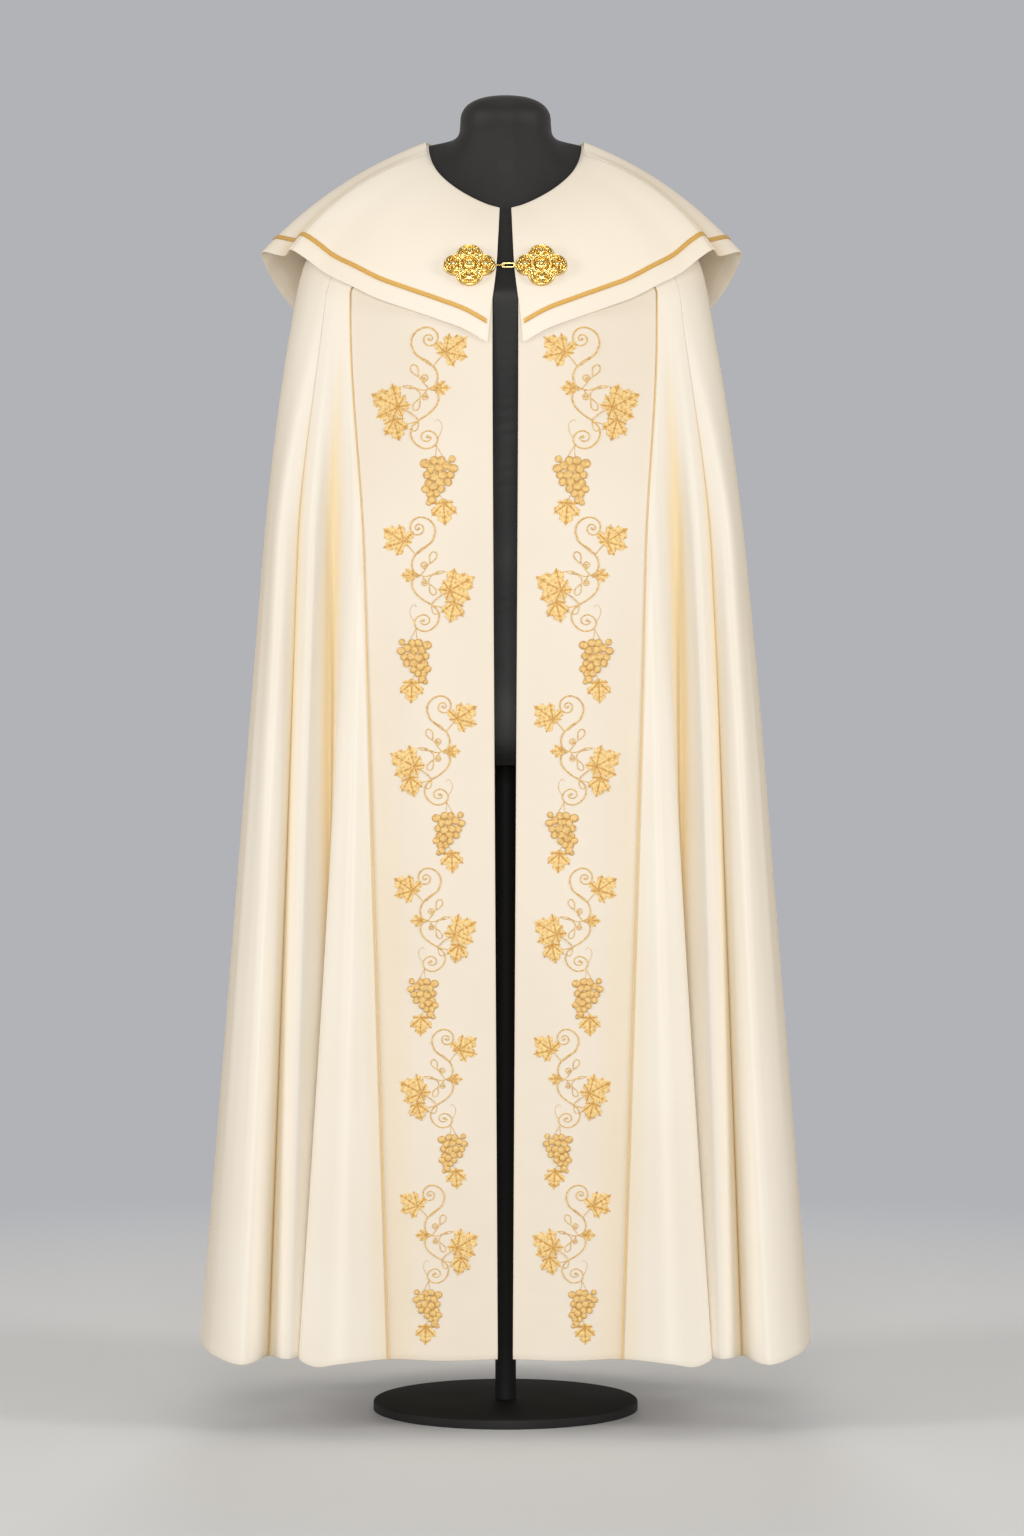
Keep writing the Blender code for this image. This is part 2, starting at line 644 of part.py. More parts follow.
def add_form(cloth, black):
    """The torso and neck as one smooth body whose shoulders carry the cope."""
    columns = range(len(cloth.rows[0]))
    rings = []
    for z, half_width, half_depth in NECK_RINGS:
        ring = []
        for column in columns:
            top = cloth.rows[0][column]
            turn = math.atan2(top.x, -top.y)
            ring.append(Vector((half_width * math.sin(turn), NECK_CENTRE_Y - half_depth * math.cos(turn), z)))
        rings.append(ring)
    for row in range(len(DOME_ROWS)):
        ring = []
        for column in columns:
            place = cloth.rows[row][column]
            turn = math.atan2(place.x, -place.y)
            ring.append(cloth.moved(row, column, -CLOTH / 2 - form_gap(turn)))
        rings.append(ring)
    for z, half_width, front, back in TORSO_RINGS:
        oval = {"half_width": half_width, "front": front, "back": back, "squareness": TORSO_SQUARENESS}
        ring = []
        for column in columns:
            place = cloth.rows[len(DOME_ROWS) - 1][column]
            angle = math.degrees(math.atan2(abs(place.x), -place.y * YOKE["half_width"] / YOKE["front"]))
            out, y = oval_point(oval, angle)
            ring.append(Vector((math.copysign(out, place.x), y, z)))
        rings.append(ring)
    across = len(columns)
    points = [point for ring in rings for point in ring]
    faces = [tuple(reversed(range(across)))]
    for ring in range(len(rings) - 1):
        for column in range(across):
            a = ring * across + column
            b = ring * across + (column + 1) % across
            faces += [(a, b + across, a + across), (a, b, b + across)]
    faces.append(tuple(range(len(points) - across, len(points))))
    add_object("form_torso", points, faces, black, 40.0)


def turned(profile, sides):
    """Points and faces of a solid turned about the Z axis from (radius, z) pairs, bottom to top."""
    points = []
    for radius, z in profile:
        for side in range(sides):
            turn = 2.0 * math.pi * side / sides
            points.append(Vector((radius * math.cos(turn), radius * math.sin(turn), z)))
    faces = [tuple(reversed(range(sides)))]
    for ring in range(len(profile) - 1):
        for side in range(sides):
            a = ring * sides + side
            b = ring * sides + (side + 1) % sides
            faces.append((a, b, b + sides, a + sides))
    faces.append(tuple(range(len(points) - sides, len(points))))
    return points, faces


def add_stand(black):
    """The pole and the round base that the form stands on."""
    torso_bottom = TORSO_RINGS[-1][0]
    pole = ((POLE_RADIUS, BASE_THICKNESS + SEAM_GAP), (POLE_RADIUS, torso_bottom - SEAM_GAP))
    points, faces = turned(pole, POLE_SIDES)
    add_object("form_pole", points, faces, black)
    base = (
        (BASE_RADIUS, 0.0),
        (BASE_RADIUS, BASE_THICKNESS - BASE_BEVEL),
        (BASE_RADIUS - BASE_BEVEL, BASE_THICKNESS),
    )
    points, faces = turned(base, BASE_SIDES)
    add_object("form_base", points, faces, black)


def build():
    """Builds the whole part."""
    clear_scene()
    satin = finish("cream_satin", (0.88, 0.80, 0.66), 0.45)
    gold_thread = finish("gold_thread", (0.72, 0.47, 0.13), 0.4, 0.4)
    gold = finish("gilt_metal", (0.83, 0.58, 0.16), 0.25, 1.0)
    black = finish("form_black", (0.02, 0.02, 0.022), 0.4)
    mantle = loft_all(
        FRONT_LINES, BACK_LEFT_LINES, CENTRE_BACK, BACK_RIGHT_LINES, mantle_line, CRISP_LINES, STEP_LENGTH,
    )
    cape = loft_all(CAPE_LINES, (), CAPE_CENTRE_BACK, (), cape_line, (), CAPE_STEP)
    add_mantle(mantle, satin)
    add_piping(mantle, gold_thread)
    add_cape(cape, satin, gold_thread)
    add_clasp(cape, gold)
    add_form(mantle, black)
    add_stand(black)


build()
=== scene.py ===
"""The looks of a cope with its shoulder cape, embroidered orphreys, braid and clasp, on a dress form.

Tables and sizes are in millimetres, and each mesh is made in metres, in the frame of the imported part:
the origin is on the floor under the pole, +Z is up, the front faces -Y and +X is the viewer's right.
"out" is a distance from the centre plane, the same on both sides of the body.
"""
import json
import logging
import math
from dataclasses import dataclass, field
from enum import Enum
from typing import Callable, Iterable, NamedTuple, Sequence

import bpy
import numpy as np
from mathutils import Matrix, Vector

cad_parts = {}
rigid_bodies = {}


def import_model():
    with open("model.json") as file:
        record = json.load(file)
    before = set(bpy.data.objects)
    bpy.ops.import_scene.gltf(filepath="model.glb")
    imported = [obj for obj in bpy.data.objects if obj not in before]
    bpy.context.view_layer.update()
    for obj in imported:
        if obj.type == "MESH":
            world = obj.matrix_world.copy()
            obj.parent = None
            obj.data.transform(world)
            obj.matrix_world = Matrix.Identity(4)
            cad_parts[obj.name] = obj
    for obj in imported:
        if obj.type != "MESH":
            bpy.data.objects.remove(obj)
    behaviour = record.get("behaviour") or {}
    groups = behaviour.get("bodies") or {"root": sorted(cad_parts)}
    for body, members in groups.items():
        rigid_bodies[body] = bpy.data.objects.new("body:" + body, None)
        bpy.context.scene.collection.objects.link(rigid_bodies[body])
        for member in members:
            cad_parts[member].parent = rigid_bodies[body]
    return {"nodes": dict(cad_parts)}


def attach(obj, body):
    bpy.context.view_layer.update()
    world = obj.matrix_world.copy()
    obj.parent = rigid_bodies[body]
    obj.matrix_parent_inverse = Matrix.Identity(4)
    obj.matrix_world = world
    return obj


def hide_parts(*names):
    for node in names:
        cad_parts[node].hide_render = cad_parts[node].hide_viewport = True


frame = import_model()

Array = np.ndarray
Colour = tuple[float, float, float]
Material = bpy.types.Material
Places = Sequence[tuple[float, float]]
Socket = bpy.types.NodeSocket

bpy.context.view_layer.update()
LOG = logging.getLogger("cope")
MM = 0.001
ROOT = "root"
TURN = 2.0 * math.pi


def scaled(colour: Colour, part: float) -> Colour:
    """A colour made lighter or darker."""
    return tuple(channel * part for channel in colour)


# --- Shader graphs ---
class Signal:
    """A number that varies over a surface; arithmetic on it adds Math nodes."""

    def __init__(self, graph: "Graph", socket: Socket) -> None:
        """Wraps an output socket of a graph."""
        self.graph = graph
        self.socket = socket

    def _math(self, operation: str, first: object, second: object = 0.0) -> "Signal":
        """One Math node on two signals or numbers."""
        node = self.graph.add("ShaderNodeMath", {"operation": operation}, {0: first, 1: second})
        return Signal(self.graph, node.outputs[0])

    def __add__(self, other: object) -> "Signal":
        """self + other."""
        return self._math("ADD", self, other)

    def __sub__(self, other: object) -> "Signal":
        """self - other."""
        return self._math("SUBTRACT", self, other)

    def __rsub__(self, other: object) -> "Signal":
        """other - self."""
        return self._math("SUBTRACT", other, self)

    def __mul__(self, other: object) -> "Signal":
        """self * other."""
        return self._math("MULTIPLY", self, other)

    def __truediv__(self, other: object) -> "Signal":
        """self / other."""
        return self._math("DIVIDE", self, other)

    def __radd__(self, other: object) -> "Signal":
        """other + self."""
        return self._math("ADD", other, self)

    def __rmul__(self, other: object) -> "Signal":
        """other * self."""
        return self._math("MULTIPLY", other, self)
    def sine(self) -> "Signal":
        """The sine of self."""
        return self._math("SINE", self)

    def ramp(self, low: float, high: float) -> "Signal":
        """0 at low, 1 at high and smooth between."""
        node = self.graph.add(
            "ShaderNodeMapRange", {"interpolation_type": "SMOOTHSTEP"},
            {"Value": self, "From Min": low, "From Max": high},
        )
        return Signal(self.graph, node.outputs["Result"])


class NodeTree:
    """A tree of shader nodes, and the one way in which nodes are added and fed."""

    def __init__(self, tree: bpy.types.NodeTree) -> None:
        """Wraps a node tree."""
        self.tree = tree

    def fill(self, node: bpy.types.Node, values: dict[object, object]) -> None:
        """Gives a node's input sockets, by name or number, a number, a tuple, a socket or a signal."""
        for key, value in values.items():
            if isinstance(value, (Signal, Socket)):
                source = value.socket if isinstance(value, Signal) else value
                self.tree.links.new(source, node.inputs[key])
            else:
                node.inputs[key].default_value = value

    def add(self, kind: str, settings: dict[str, object], values: dict[object, object]) -> bpy.types.Node:
        """Adds a node.

        Args:
            kind: The node's type.
            settings: Attributes that are set first.
            values: What its input sockets are given.

        Returns:
            The node.
        """
        node = self.tree.nodes.new(kind)
        for name, value in settings.items():
            setattr(node, name, value)
        self.fill(node, values)
        return node


class Graph(NodeTree):
    """The node tree of one material, round its Principled shader."""

    def __init__(self, name: str, constants: dict[str, object]) -> None:
        """Makes the material.

        Args:
            name: The material's name.
            constants: Values for the shader's own sockets that are the same all over.
        """
        self.material = bpy.data.materials.new(name)
        self.material.use_nodes = True
        super().__init__(self.material.node_tree)
        self.shader = self.tree.nodes["Principled BSDF"]
        self.fill(self.shader, constants)


    def axes(self, source: Socket) -> tuple[Signal, Signal, Signal]:
        """The three parts of a vector."""
        node = self.add("ShaderNodeSeparateXYZ", {}, {0: source})
        return tuple(Signal(self, output) for output in node.outputs)

    def vector(self, x: object, y: object, z: object = 0.0) -> Socket:
        """A vector from three numbers or signals."""
        return self.add("ShaderNodeCombineXYZ", {}, {0: x, 1: y, 2: z}).outputs[0]

    def cloth_axes(self, layer: str) -> tuple[Signal, Signal, Signal]:
        """Metres along and across the threads, from a UV layer."""
        return self.axes(self.add("ShaderNodeUVMap", {"uv_map": layer}, {}).outputs["UV"])

    def position(self) -> Socket:
        """The place on the object, in metres."""
        return self.add("ShaderNodeTexCoord", {}, {}).outputs["Object"]

    def attribute(self, name: str) -> Signal:
        """A number stored on the mesh's points."""
        node = self.add("ShaderNodeAttribute", {"attribute_name": name}, {})
        return Signal(self, node.outputs["Fac"])

    def noise(self, vector: Socket, scale: float, detail: float = 3.0) -> Signal:
        """A noise from 0 to 1 at so many cells to the metre."""
        node = self.add("ShaderNodeTexNoise", {}, {"Vector": vector, "Scale": scale, "Detail": detail})
        return Signal(self, node.outputs["Fac"])

    def wave(self, distance: Signal, pitch_mm: float) -> Signal:
        """A wave from -1 to 1 that repeats at a pitch along a distance in metres."""
        return (distance * (TURN / (pitch_mm * MM))).sine()

    def blend(self, factor: object, first: object, second: object) -> Socket:
        """A colour between two colours; a Mix node has its colours in sockets 6 and 7 and gives one in 2."""
        colours = [(*part, 1.0) if isinstance(part, tuple) else part for part in (first, second)]
        values = {0: factor, 6: colours[0], 7: colours[1]}
        return self.add("ShaderNodeMix", {"data_type": "RGBA"}, values).outputs[2]

    def dressed(self, colour: Socket, roughness: Signal, height: Signal, depth_mm: float) -> Material:
        """The material with its colour and roughness, and a height from 0 to 1 as a relief of some depth."""
        bump = self.add("ShaderNodeBump", {}, {"Height": height, "Distance": depth_mm * MM})
        self.fill(self.shader, {"Base Color": colour, "Roughness": roughness, "Normal": bump.outputs[0]})
        return self.material


class Slot(Enum):
    """The record's material slots."""

    SATIN = "cream_satin"
    THREAD = "gold_thread"
    GILT = "gilt_metal"
    COVER = "form_cover"
    STAND = "stand_black"


@dataclass(frozen=True)
class Satin:
    """A lined satin with fine floating threads; "tone" is 0 on its ridges and 1 deep in its hollows, where a
    painted warm shade is blended in.
    """

    name: str
    colour: Colour
    shade: Colour
    glow: Colour
    roughness: float = 0.46
    float_length_mm: float = 14.0
    thread_mm: float = 0.55
    relief_mm: float = 0.05
    cockle_mm: float = 0.0

    def material(self) -> Material:
        """The satin's material."""
        sheen = {"Sheen Weight": 0.3, "Sheen Roughness": 0.4, "Sheen Tint": (1.0, 0.74, 0.45, 1.0)}
        graph = Graph(self.name, {"Specular IOR Level": 0.3, **sheen})
        along, down, _ = graph.cloth_axes("cloth")
        threads = graph.vector(along / (self.float_length_mm * MM), down / (self.thread_mm * MM))
        floats = graph.noise(threads, 1.0, 2.0)
        cloudy = graph.noise(graph.position(), 5.0, 2.0)
        tone = (floats - 0.5) * 0.3 + cloudy
        face = graph.blend(tone.ramp(0.25, 0.75), self.shade, self.colour)
        # Painted shade: deep in the hollows the colour turns to glow, a painted warm shade.
        colour = graph.blend(graph.attribute("tone"), face, self.glow)
        roughness = (floats - 0.5) * 0.12 + (cloudy - 0.5) * 0.08 + self.roughness
        cockled = graph.noise(graph.position(), 26.0, 1.0)
        height = floats + cockled * (self.cockle_mm / self.relief_mm)
        return graph.dressed(colour, roughness, height, self.relief_mm)


@dataclass(frozen=True)
class GoldThread:
    """Lustrous gold thread, laid side by side; "thread" gives mm along and across the threads."""

    name: str
    colour: Colour
    deep: Colour
    thread_mm: float
    metallic: float
    mottle: float = 0.0
    relief_mm: float = 0.16

    def material(self) -> Material:
        """The thread's material."""
        graph = Graph(self.name, {"Metallic": self.metallic, "Specular IOR Level": 0.4, "Sheen Weight": 0.1})
        across, along, _ = graph.cloth_axes("thread")
        ridge = graph.wave(across, self.thread_mm) * 0.5 + 0.5
        broken = graph.noise(graph.vector(across / (1.1 * MM), along / (3.2 * MM)), 1.0, 2.0)
        tone = graph.attribute("tone")
        bundles = graph.noise(graph.position(), 300.0, 2.0)
        # The mesh's tone lightens the thread; on the beads its bright middle is a painted highlight.
        light = tone * 0.75 + broken * 0.55 + (bundles - 0.5) * self.mottle + ridge * 0.18 - 0.28
        colour = graph.blend(light.ramp(0.0, 1.0), self.deep, self.colour)
        return graph.dressed(colour, 0.52 - broken * 0.2, ridge * 0.6 + broken * 0.8, self.relief_mm)


@dataclass(frozen=True)
class LeafThread:
    """Gold filling stitch of a leaf: "thread" gives mm along its ribs and away from them."""

    name: str
    colour: Colour
    deep: Colour
    rib_mm: float = 1.35
    vein_step_mm: float = 7.0
    thread_mm: float = 0.9
    relief_mm: float = 0.2

    def material(self) -> Material:
        """The thread's material."""
        graph = Graph(self.name, {"Metallic": 0.1, "Specular IOR Level": 0.35, "Sheen Weight": 0.1})
        along, away, _ = graph.cloth_axes("thread")
        rib = away.ramp(0.25 * MM, self.rib_mm * MM)
        vein = graph.wave(along, self.vein_step_mm).ramp(0.99, 0.55)
        threads = graph.wave(along, self.thread_mm) * 0.5 + 0.5
        stitches = graph.noise(graph.vector(along / (1.6 * MM), away / (3.4 * MM)), 1.0, 3.0)
        bundles = graph.noise(graph.position(), 260.0, 2.0)
        tone = graph.attribute("tone")
        filled = (1.0 - (1.0 - rib) * tone) * (vein * 0.3 + 0.7)
        light = filled * 0.55 + tone * 0.12 + (stitches - 0.5) * 2.4 + (bundles - 0.5) * 1.3 + 0.02
        colour = graph.blend(light.ramp(0.0, 0.95), self.deep, self.colour)
        height = filled * 0.8 + stitches * 0.6 + threads * 0.2
        return graph.dressed(colour, 0.62 - stitches * 0.16, height, self.relief_mm)


@dataclass(frozen=True)
class Gilt:
    """Polished gilt filigree that is darker in its depths, a painted shade; "tone" is 0 there and 1 on what
    stands out.
    """

    name: str
    colour: Colour
    deep: Colour
    relief_mm: float = 0.012

    def material(self) -> Material:
        """The metal's material."""
        graph = Graph(self.name, {"Metallic": 1.0, "Specular Tint": (1.0, 0.8, 0.45, 1.0)})
        tone = graph.attribute("tone")
        specks = graph.noise(graph.position(), 900.0, 3.0)
        # Painted shade: where tone is low, in the depths, the colour turns to deep.
        lit = (tone + (specks - 0.5) * 0.3).ramp(0.12, 0.85)
        roughness = 0.31 - tone * 0.15 + (specks - 0.5) * 0.1
        return graph.dressed(graph.blend(lit, self.deep, self.colour), roughness, specks, self.relief_mm)


@dataclass(frozen=True)
class Jersey:
    """The dress form's black knitted cover."""

    name: str
    colour: Colour
    stitch_mm: float = 1.1
    relief_mm: float = 0.06
    def material(self) -> Material:
        """The cover's material."""
        constants = {"Sheen Weight": 0.1, "Sheen Roughness": 0.4, "Specular IOR Level": 0.35}
        graph = Graph(self.name, constants)
        along, down, _ = graph.cloth_axes("cloth")
        knit = graph.wave(along, self.stitch_mm) * graph.wave(down, self.stitch_mm * 0.8) * 0.25 + 0.5
        worn = graph.noise(graph.position(), 14.0)
        colour = graph.blend(worn, self.colour, scaled(self.colour, 1.8))
        return graph.dressed(colour, 0.5 + (worn - 0.5) * 0.16, knit, self.relief_mm)


@dataclass(frozen=True)
class PowderCoat:
    """Satin black powder coat on steel."""

    name: str
    colour: Colour
    relief_mm: float = 0.05

    def material(self) -> Material:
        """The coat's material."""
        graph = Graph(self.name, {"Specular IOR Level": 0.2})
        peel = graph.noise(graph.position(), 420.0, 2.0)
        wear = graph.noise(graph.position(), 9.0)
        colour = graph.blend(wear, self.colour, scaled(self.colour, 1.5))
        return graph.dressed(colour, 0.6 + (wear - 0.5) * 0.14, peel, self.relief_mm)


@dataclass(frozen=True)
class PaleFloor:
    """A pale matt floor that fades out towards the backdrop."""

    name: str
    colour: Colour
    fade_from: float = 0.5
    fade_to: float = 2.6

    def material(self) -> Material:
        """The floor's material."""
        graph = Graph(self.name, {"Roughness": 0.9, "Specular IOR Level": 0.15})
        x, y, _ = graph.axes(graph.position())
        far = (x * x + y * y).ramp(self.fade_from ** 2, self.fade_to ** 2)
        cloudy = graph.noise(graph.position(), 1.5, 2.0)
        colour = graph.blend(cloudy, self.colour, scaled(self.colour, 0.97))
        graph.fill(graph.shader, {"Alpha": 1.0 - far, "Base Color": colour})
        return graph.material


class Wardrobe:
    """Makes each finish's material once and hands it out."""

    CREAM = ((0.93, 0.88, 0.795), (0.905, 0.845, 0.745))
    ORPHREY_CREAM = ((0.865, 0.795, 0.69), (0.84, 0.76, 0.645))
    # The third colour of each satin is the painted warm shade of its hollows, and the back's satin differs
    # only there; the gilt's second colour is the painted shade of its depths.
    FINISHES = {
        "satin": Satin("cream_satin", *CREAM, (0.85, 0.69, 0.42)),
        "back": Satin("cream_back_satin", *CREAM, (0.84, 0.71, 0.49)),
        "orphrey": Satin("cream_orphrey_satin", *ORPHREY_CREAM, (0.80, 0.64, 0.40), cockle_mm=0.9),
        "cape": Satin("cream_cape_satin", (0.93, 0.87, 0.77), (0.905, 0.835, 0.72), (0.80, 0.62, 0.35)),
        "lining": Satin("cream_lining", (0.92, 0.83, 0.70), (0.88, 0.78, 0.64), (0.76, 0.60, 0.38), 0.6),
        "leaf": LeafThread("gold_leaf_stitch", (0.93, 0.69, 0.31), (0.60, 0.31, 0.065)),
        "embroidery": GoldThread("gold_embroidery", (0.86, 0.60, 0.24), (0.60, 0.32, 0.07), 0.9, 0.12, 2.0),
        "braid": GoldThread("gold_braid", (0.84, 0.52, 0.14), (0.50, 0.26, 0.05), 1.2, 0.25),
        "piping": GoldThread("gold_piping", (0.90, 0.66, 0.30), (0.66, 0.40, 0.12), 1.2, 0.15),
        "gilt": Gilt("gilt_filigree", (1.0, 0.82, 0.34), (0.66, 0.33, 0.035)),
        "jersey": Jersey("black_jersey", (0.012, 0.012, 0.013)),
        "coat": PowderCoat("black_powder_coat", (0.014, 0.014, 0.015)),
        "floor": PaleFloor("pale_floor", (0.74, 0.76, 0.79)),
    }

    def __init__(self) -> None:
        """Starts with nothing made."""
        self.made: dict[str, Material] = {}

    def __getitem__(self, name: str) -> Material:
        """The material of a finish."""
        if name not in self.made:
            self.made[name] = self.FINISHES[name].material()
        return self.made[name]


# --- Curves and meshes ---
# How far a tube's ends bulge, in radii, and the tone of its whole length.
DOME = 0.6
TUBE_TONE = 0.9


def unit(vectors: Array) -> Array:
    """The same directions with length 1."""
    return vectors / np.maximum(np.linalg.norm(vectors, axis=-1, keepdims=True), 1e-12)


def turned(u: object, v: object, angle: float) -> tuple:
    """A vector's two parts, or arrays of them, turned by an angle in radians."""
    return u * math.cos(angle) - v * math.sin(angle), u * math.sin(angle) + v * math.cos(angle)


def directions(count: int) -> Array:
    """The angles of so many directions, evenly round a turn."""
    return np.arange(count) * TURN / count


def travelled(path: Array) -> Array:
    """The distance along a path at each of its points."""
    return np.concatenate([[0.0], np.cumsum(np.linalg.norm(np.diff(path, axis=0), axis=1))])


def sampled(spots: Array | float, length: Array, values: Array) -> Array:
    """Vectors that are known at distances along a path, read at other distances."""
    return np.stack([np.interp(spots, length, values[:, axis]) for axis in range(3)], -1)


def uv_grid(first: Array, second: Array) -> Array:
    """The uv of a grid's points in one list, from two arrays that broadcast to its shape."""
    return np.stack(np.broadcast_arrays(first, second), -1).reshape(-1, 2)


def between(places: Sequence[Array], knots: Sequence[Array], place: Array) -> Array:
    """The mix of two points at a place between their two knots."""
    span = knots[1] - knots[0]
    return places[0] * ((knots[1] - place) / span) + places[1] * ((place - knots[0]) / span)


def catmull_rom(controls: Array, steps: Sequence[int], sharp: Iterable[int] = ()) -> Array:
    """Points of a centripetal Catmull-Rom curve through controls.

    Args:
        controls: The points that the curve passes, along the first axis; other curves lie side by side
            along the axes between, and the last axis is the coordinates.
        steps: The number of steps from each control to the next.
        sharp: The controls where the curve has a corner.

    Returns:
        The points, one more than the steps' sum.
    """
    corners = {0, len(controls) - 1, *sharp}
    pieces = []
    for index, count in enumerate(steps):
        start, end = controls[index], controls[index + 1]
        before = start * 2.0 - end if index in corners else controls[index - 1]
        after = end * 2.0 - start if index + 1 in corners else controls[index + 2]
        points = (before, start, end, after)
        knots = [np.zeros(start.shape[:-1] + (1,))]
        for first, second in zip(points, points[1:]):
            length = np.linalg.norm(second - first, axis=-1, keepdims=True)
            knots.append(knots[-1] + np.sqrt(np.maximum(length, 1e-6)))
        for part in np.arange(count) / count:
            place = knots[1] + (knots[2] - knots[1]) * part
            lines = [between(points[step:step + 2], knots[step:step + 2], place) for step in range(3)]
            bends = [between(lines[step:step + 2], knots[step:step + 3:2], place) for step in range(2)]
            pieces.append(between(bends, knots[1:3], place))
    pieces.append(controls[-1])
    return np.stack(pieces)


def smooth_path(points: Sequence[Sequence[float]], spacing: float) -> Array:
    """A smooth line through given points, at about that spacing."""
    controls = np.array(points, float)
    lengths = np.linalg.norm(np.diff(controls, axis=0), axis=1)
    return catmull_rom(controls, [max(2, round(length / spacing)) for length in lengths])


def grid_faces(rows: int, columns: int, wrap: bool = False, first: int = 0) -> Array:
    """The quads of a grid of points, facing the way that columns x rows points to.

    Args:
        rows: The number of rows.
        columns: The number of points in each row.
        wrap: True if the last column joins the first.
        first: The number of the grid's first point.

    Returns:
        Four point numbers for each quad.
    """
    across = np.arange(columns if wrap else columns - 1)
    following = (across + 1) % columns
    top = np.arange(rows - 1)[:, None] * columns
    quads = np.stack([top + across, top + following, top + columns + following, top + columns + across], -1)
    return quads.reshape(-1, 4) + first


@dataclass
class MeshData:
    """Points in mm, faces, and what is known at the faces and points."""

    points: Array
    faces: list[Sequence[int]]
    uv: Array | None = None
    tone: Array | None = None
    face_finish: Array | None = None

    @staticmethod
    def joined(parts: Sequence["MeshData"]) -> "MeshData":
        """Several meshes, each with its uv and tone, as one."""
        faces, first = [], 0
        for part in parts:
            faces += [tuple(int(corner) + first for corner in face) for face in part.faces]
            first += len(part.points)
        kinds = ("points", "uv", "tone")
        points, uv, tone = (np.concatenate([getattr(part, kind) for part in parts]) for kind in kinds)
        return MeshData(points, faces, uv, tone)


def add_piece(
    name: str, data: MeshData, finishes: Sequence[Material],
    replaces: Sequence[str] = (), uv_layer: str = "cloth",
) -> None:
    """Makes a piece that rides on the part's body, and reports it.

    Args:
        name: The piece's name.
        data: Its mesh.
        finishes: Its materials; face_finish says which one each face has.
        replaces: The CAD nodes that it stands for.
        uv_layer: The name of the layer that holds the mesh's uv, in metres.
    """
    mesh = bpy.data.meshes.new(name)
    mesh.from_pydata((data.points * MM).tolist(), [], data.faces)
    for finish in finishes:
        mesh.materials.append(finish)
    if data.face_finish is not None:
        mesh.polygons.foreach_set("material_index", data.face_finish.astype(np.int32))
    if data.uv is not None:
        corners = np.zeros(len(mesh.loops), np.int32)
        mesh.loops.foreach_get("vertex_index", corners)
        layer = mesh.uv_layers.new(name=uv_layer)
        layer.uv.foreach_set("vector", (data.uv[corners] * MM).astype(np.float32).ravel())
    if data.tone is not None:
        tones = mesh.attributes.new("tone", "FLOAT", "POINT")
        tones.data.foreach_set("value", data.tone.astype(np.float32))
    mesh.shade_smooth()
    mesh.validate()
    piece = bpy.data.objects.new(name, mesh)
    bpy.context.scene.collection.objects.link(piece)
    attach(piece, ROOT)
    if replaces:
        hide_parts(*replaces)
    LOG.info("%s: %d points, %d faces", name, len(mesh.vertices), len(mesh.polygons))


def closed_rings(rows: int, columns: int, flipped: bool = False) -> list[Sequence[int]]:
    """The faces of rings of points with a fan over each end.

    Args:
        rows: The number of rings.
        columns: The number of points in each; the middles of the two fans are the two points after them.
        flipped: True to face the other way.

    Returns:
        The faces' point numbers.
    """
    faces = grid_faces(rows, columns, True)
    middle, last = rows * columns, (rows - 1) * columns
    fans = []
    for side in range(columns):
        pair = ((side + 1) % columns, side)
        near, far = reversed(pair) if flipped else pair
        fans += [(middle, near, far), (middle + 1, last + far, last + near)]
    return (faces[:, ::-1] if flipped else faces).tolist() + fans


def spoked(rings: int, spokes: int) -> list[Sequence[int]]:
    """The faces of rings of points, the innermost first, round a middle that is the point after them."""
    fan = [(rings * spokes, spoke, (spoke + 1) % spokes) for spoke in range(spokes)]
    return grid_faces(rings, spokes, True)[:, ::-1].tolist() + fan


def tube(
    path: Array, radius: float, sides: int, closed: bool = False, hint: Sequence[float] = (0.0, 0.0, 1.0),
) -> MeshData:
    """A round tube along a path, with domed ends unless it is closed.

    Args:
        path: The middle line.
        radius: The tube's radius.
        sides: The number of sides.
        closed: True if the path's end joins its start.
        hint: A direction that is never along the path.

    Returns:
        The mesh.
    """
    ahead = np.roll(path, -1, 0) - np.roll(path, 1, 0)
    if not closed:
        ahead[0], ahead[-1] = path[1] - path[0], path[-1] - path[-2]
    along = unit(ahead)
    across = unit(np.cross(np.array(hint, float), along))
    upward = np.cross(along, across)
    turns = directions(sides)
    ring = across[:, None] * np.cos(turns)[None, :, None] + upward[:, None] * np.sin(turns)[None, :, None]
    points = (path[:, None] + ring * radius).reshape(-1, 3)
    length = travelled(path)
    uv = uv_grid(length[:, None], turns * radius)
    rows = len(path)
    if closed:
        side = np.arange(sides)
        following = (side + 1) % sides
        last = (rows - 1) * sides
        joint = np.stack([last + side, last + following, following, side], -1)
        faces = np.concatenate([grid_faces(rows, sides, True), joint]).tolist()
    else:
        faces = closed_rings(rows, sides)
        ends = np.stack([path[0] - along[0] * radius * DOME, path[-1] + along[-1] * radius * DOME])
        points = np.concatenate([points, ends])
        uv = np.concatenate([uv, [[0.0, 0.0], [length[-1], 0.0]]])
    return MeshData(points, faces, uv, np.full(len(points), TUBE_TONE))


# --- The garment's surfaces ---
@dataclass(frozen=True)
class Oval:
    """An oval in plan, with its own depth in front and behind."""

    half_width: float
    front: float
    back: float
    squareness: float

    def point(self, angle: float) -> tuple[float, float]:
        """Out and y at an angle in degrees, 0 at the front and 180 at the back."""
        power = 2.0 / self.squareness
        sine, cosine = math.sin(math.radians(angle)), math.cos(math.radians(angle))
        depth = self.front if angle <= 90.0 else self.back
        out = self.half_width * math.copysign(abs(sine) ** power, sine)
        return out, -depth * math.copysign(abs(cosine) ** power, cosine)


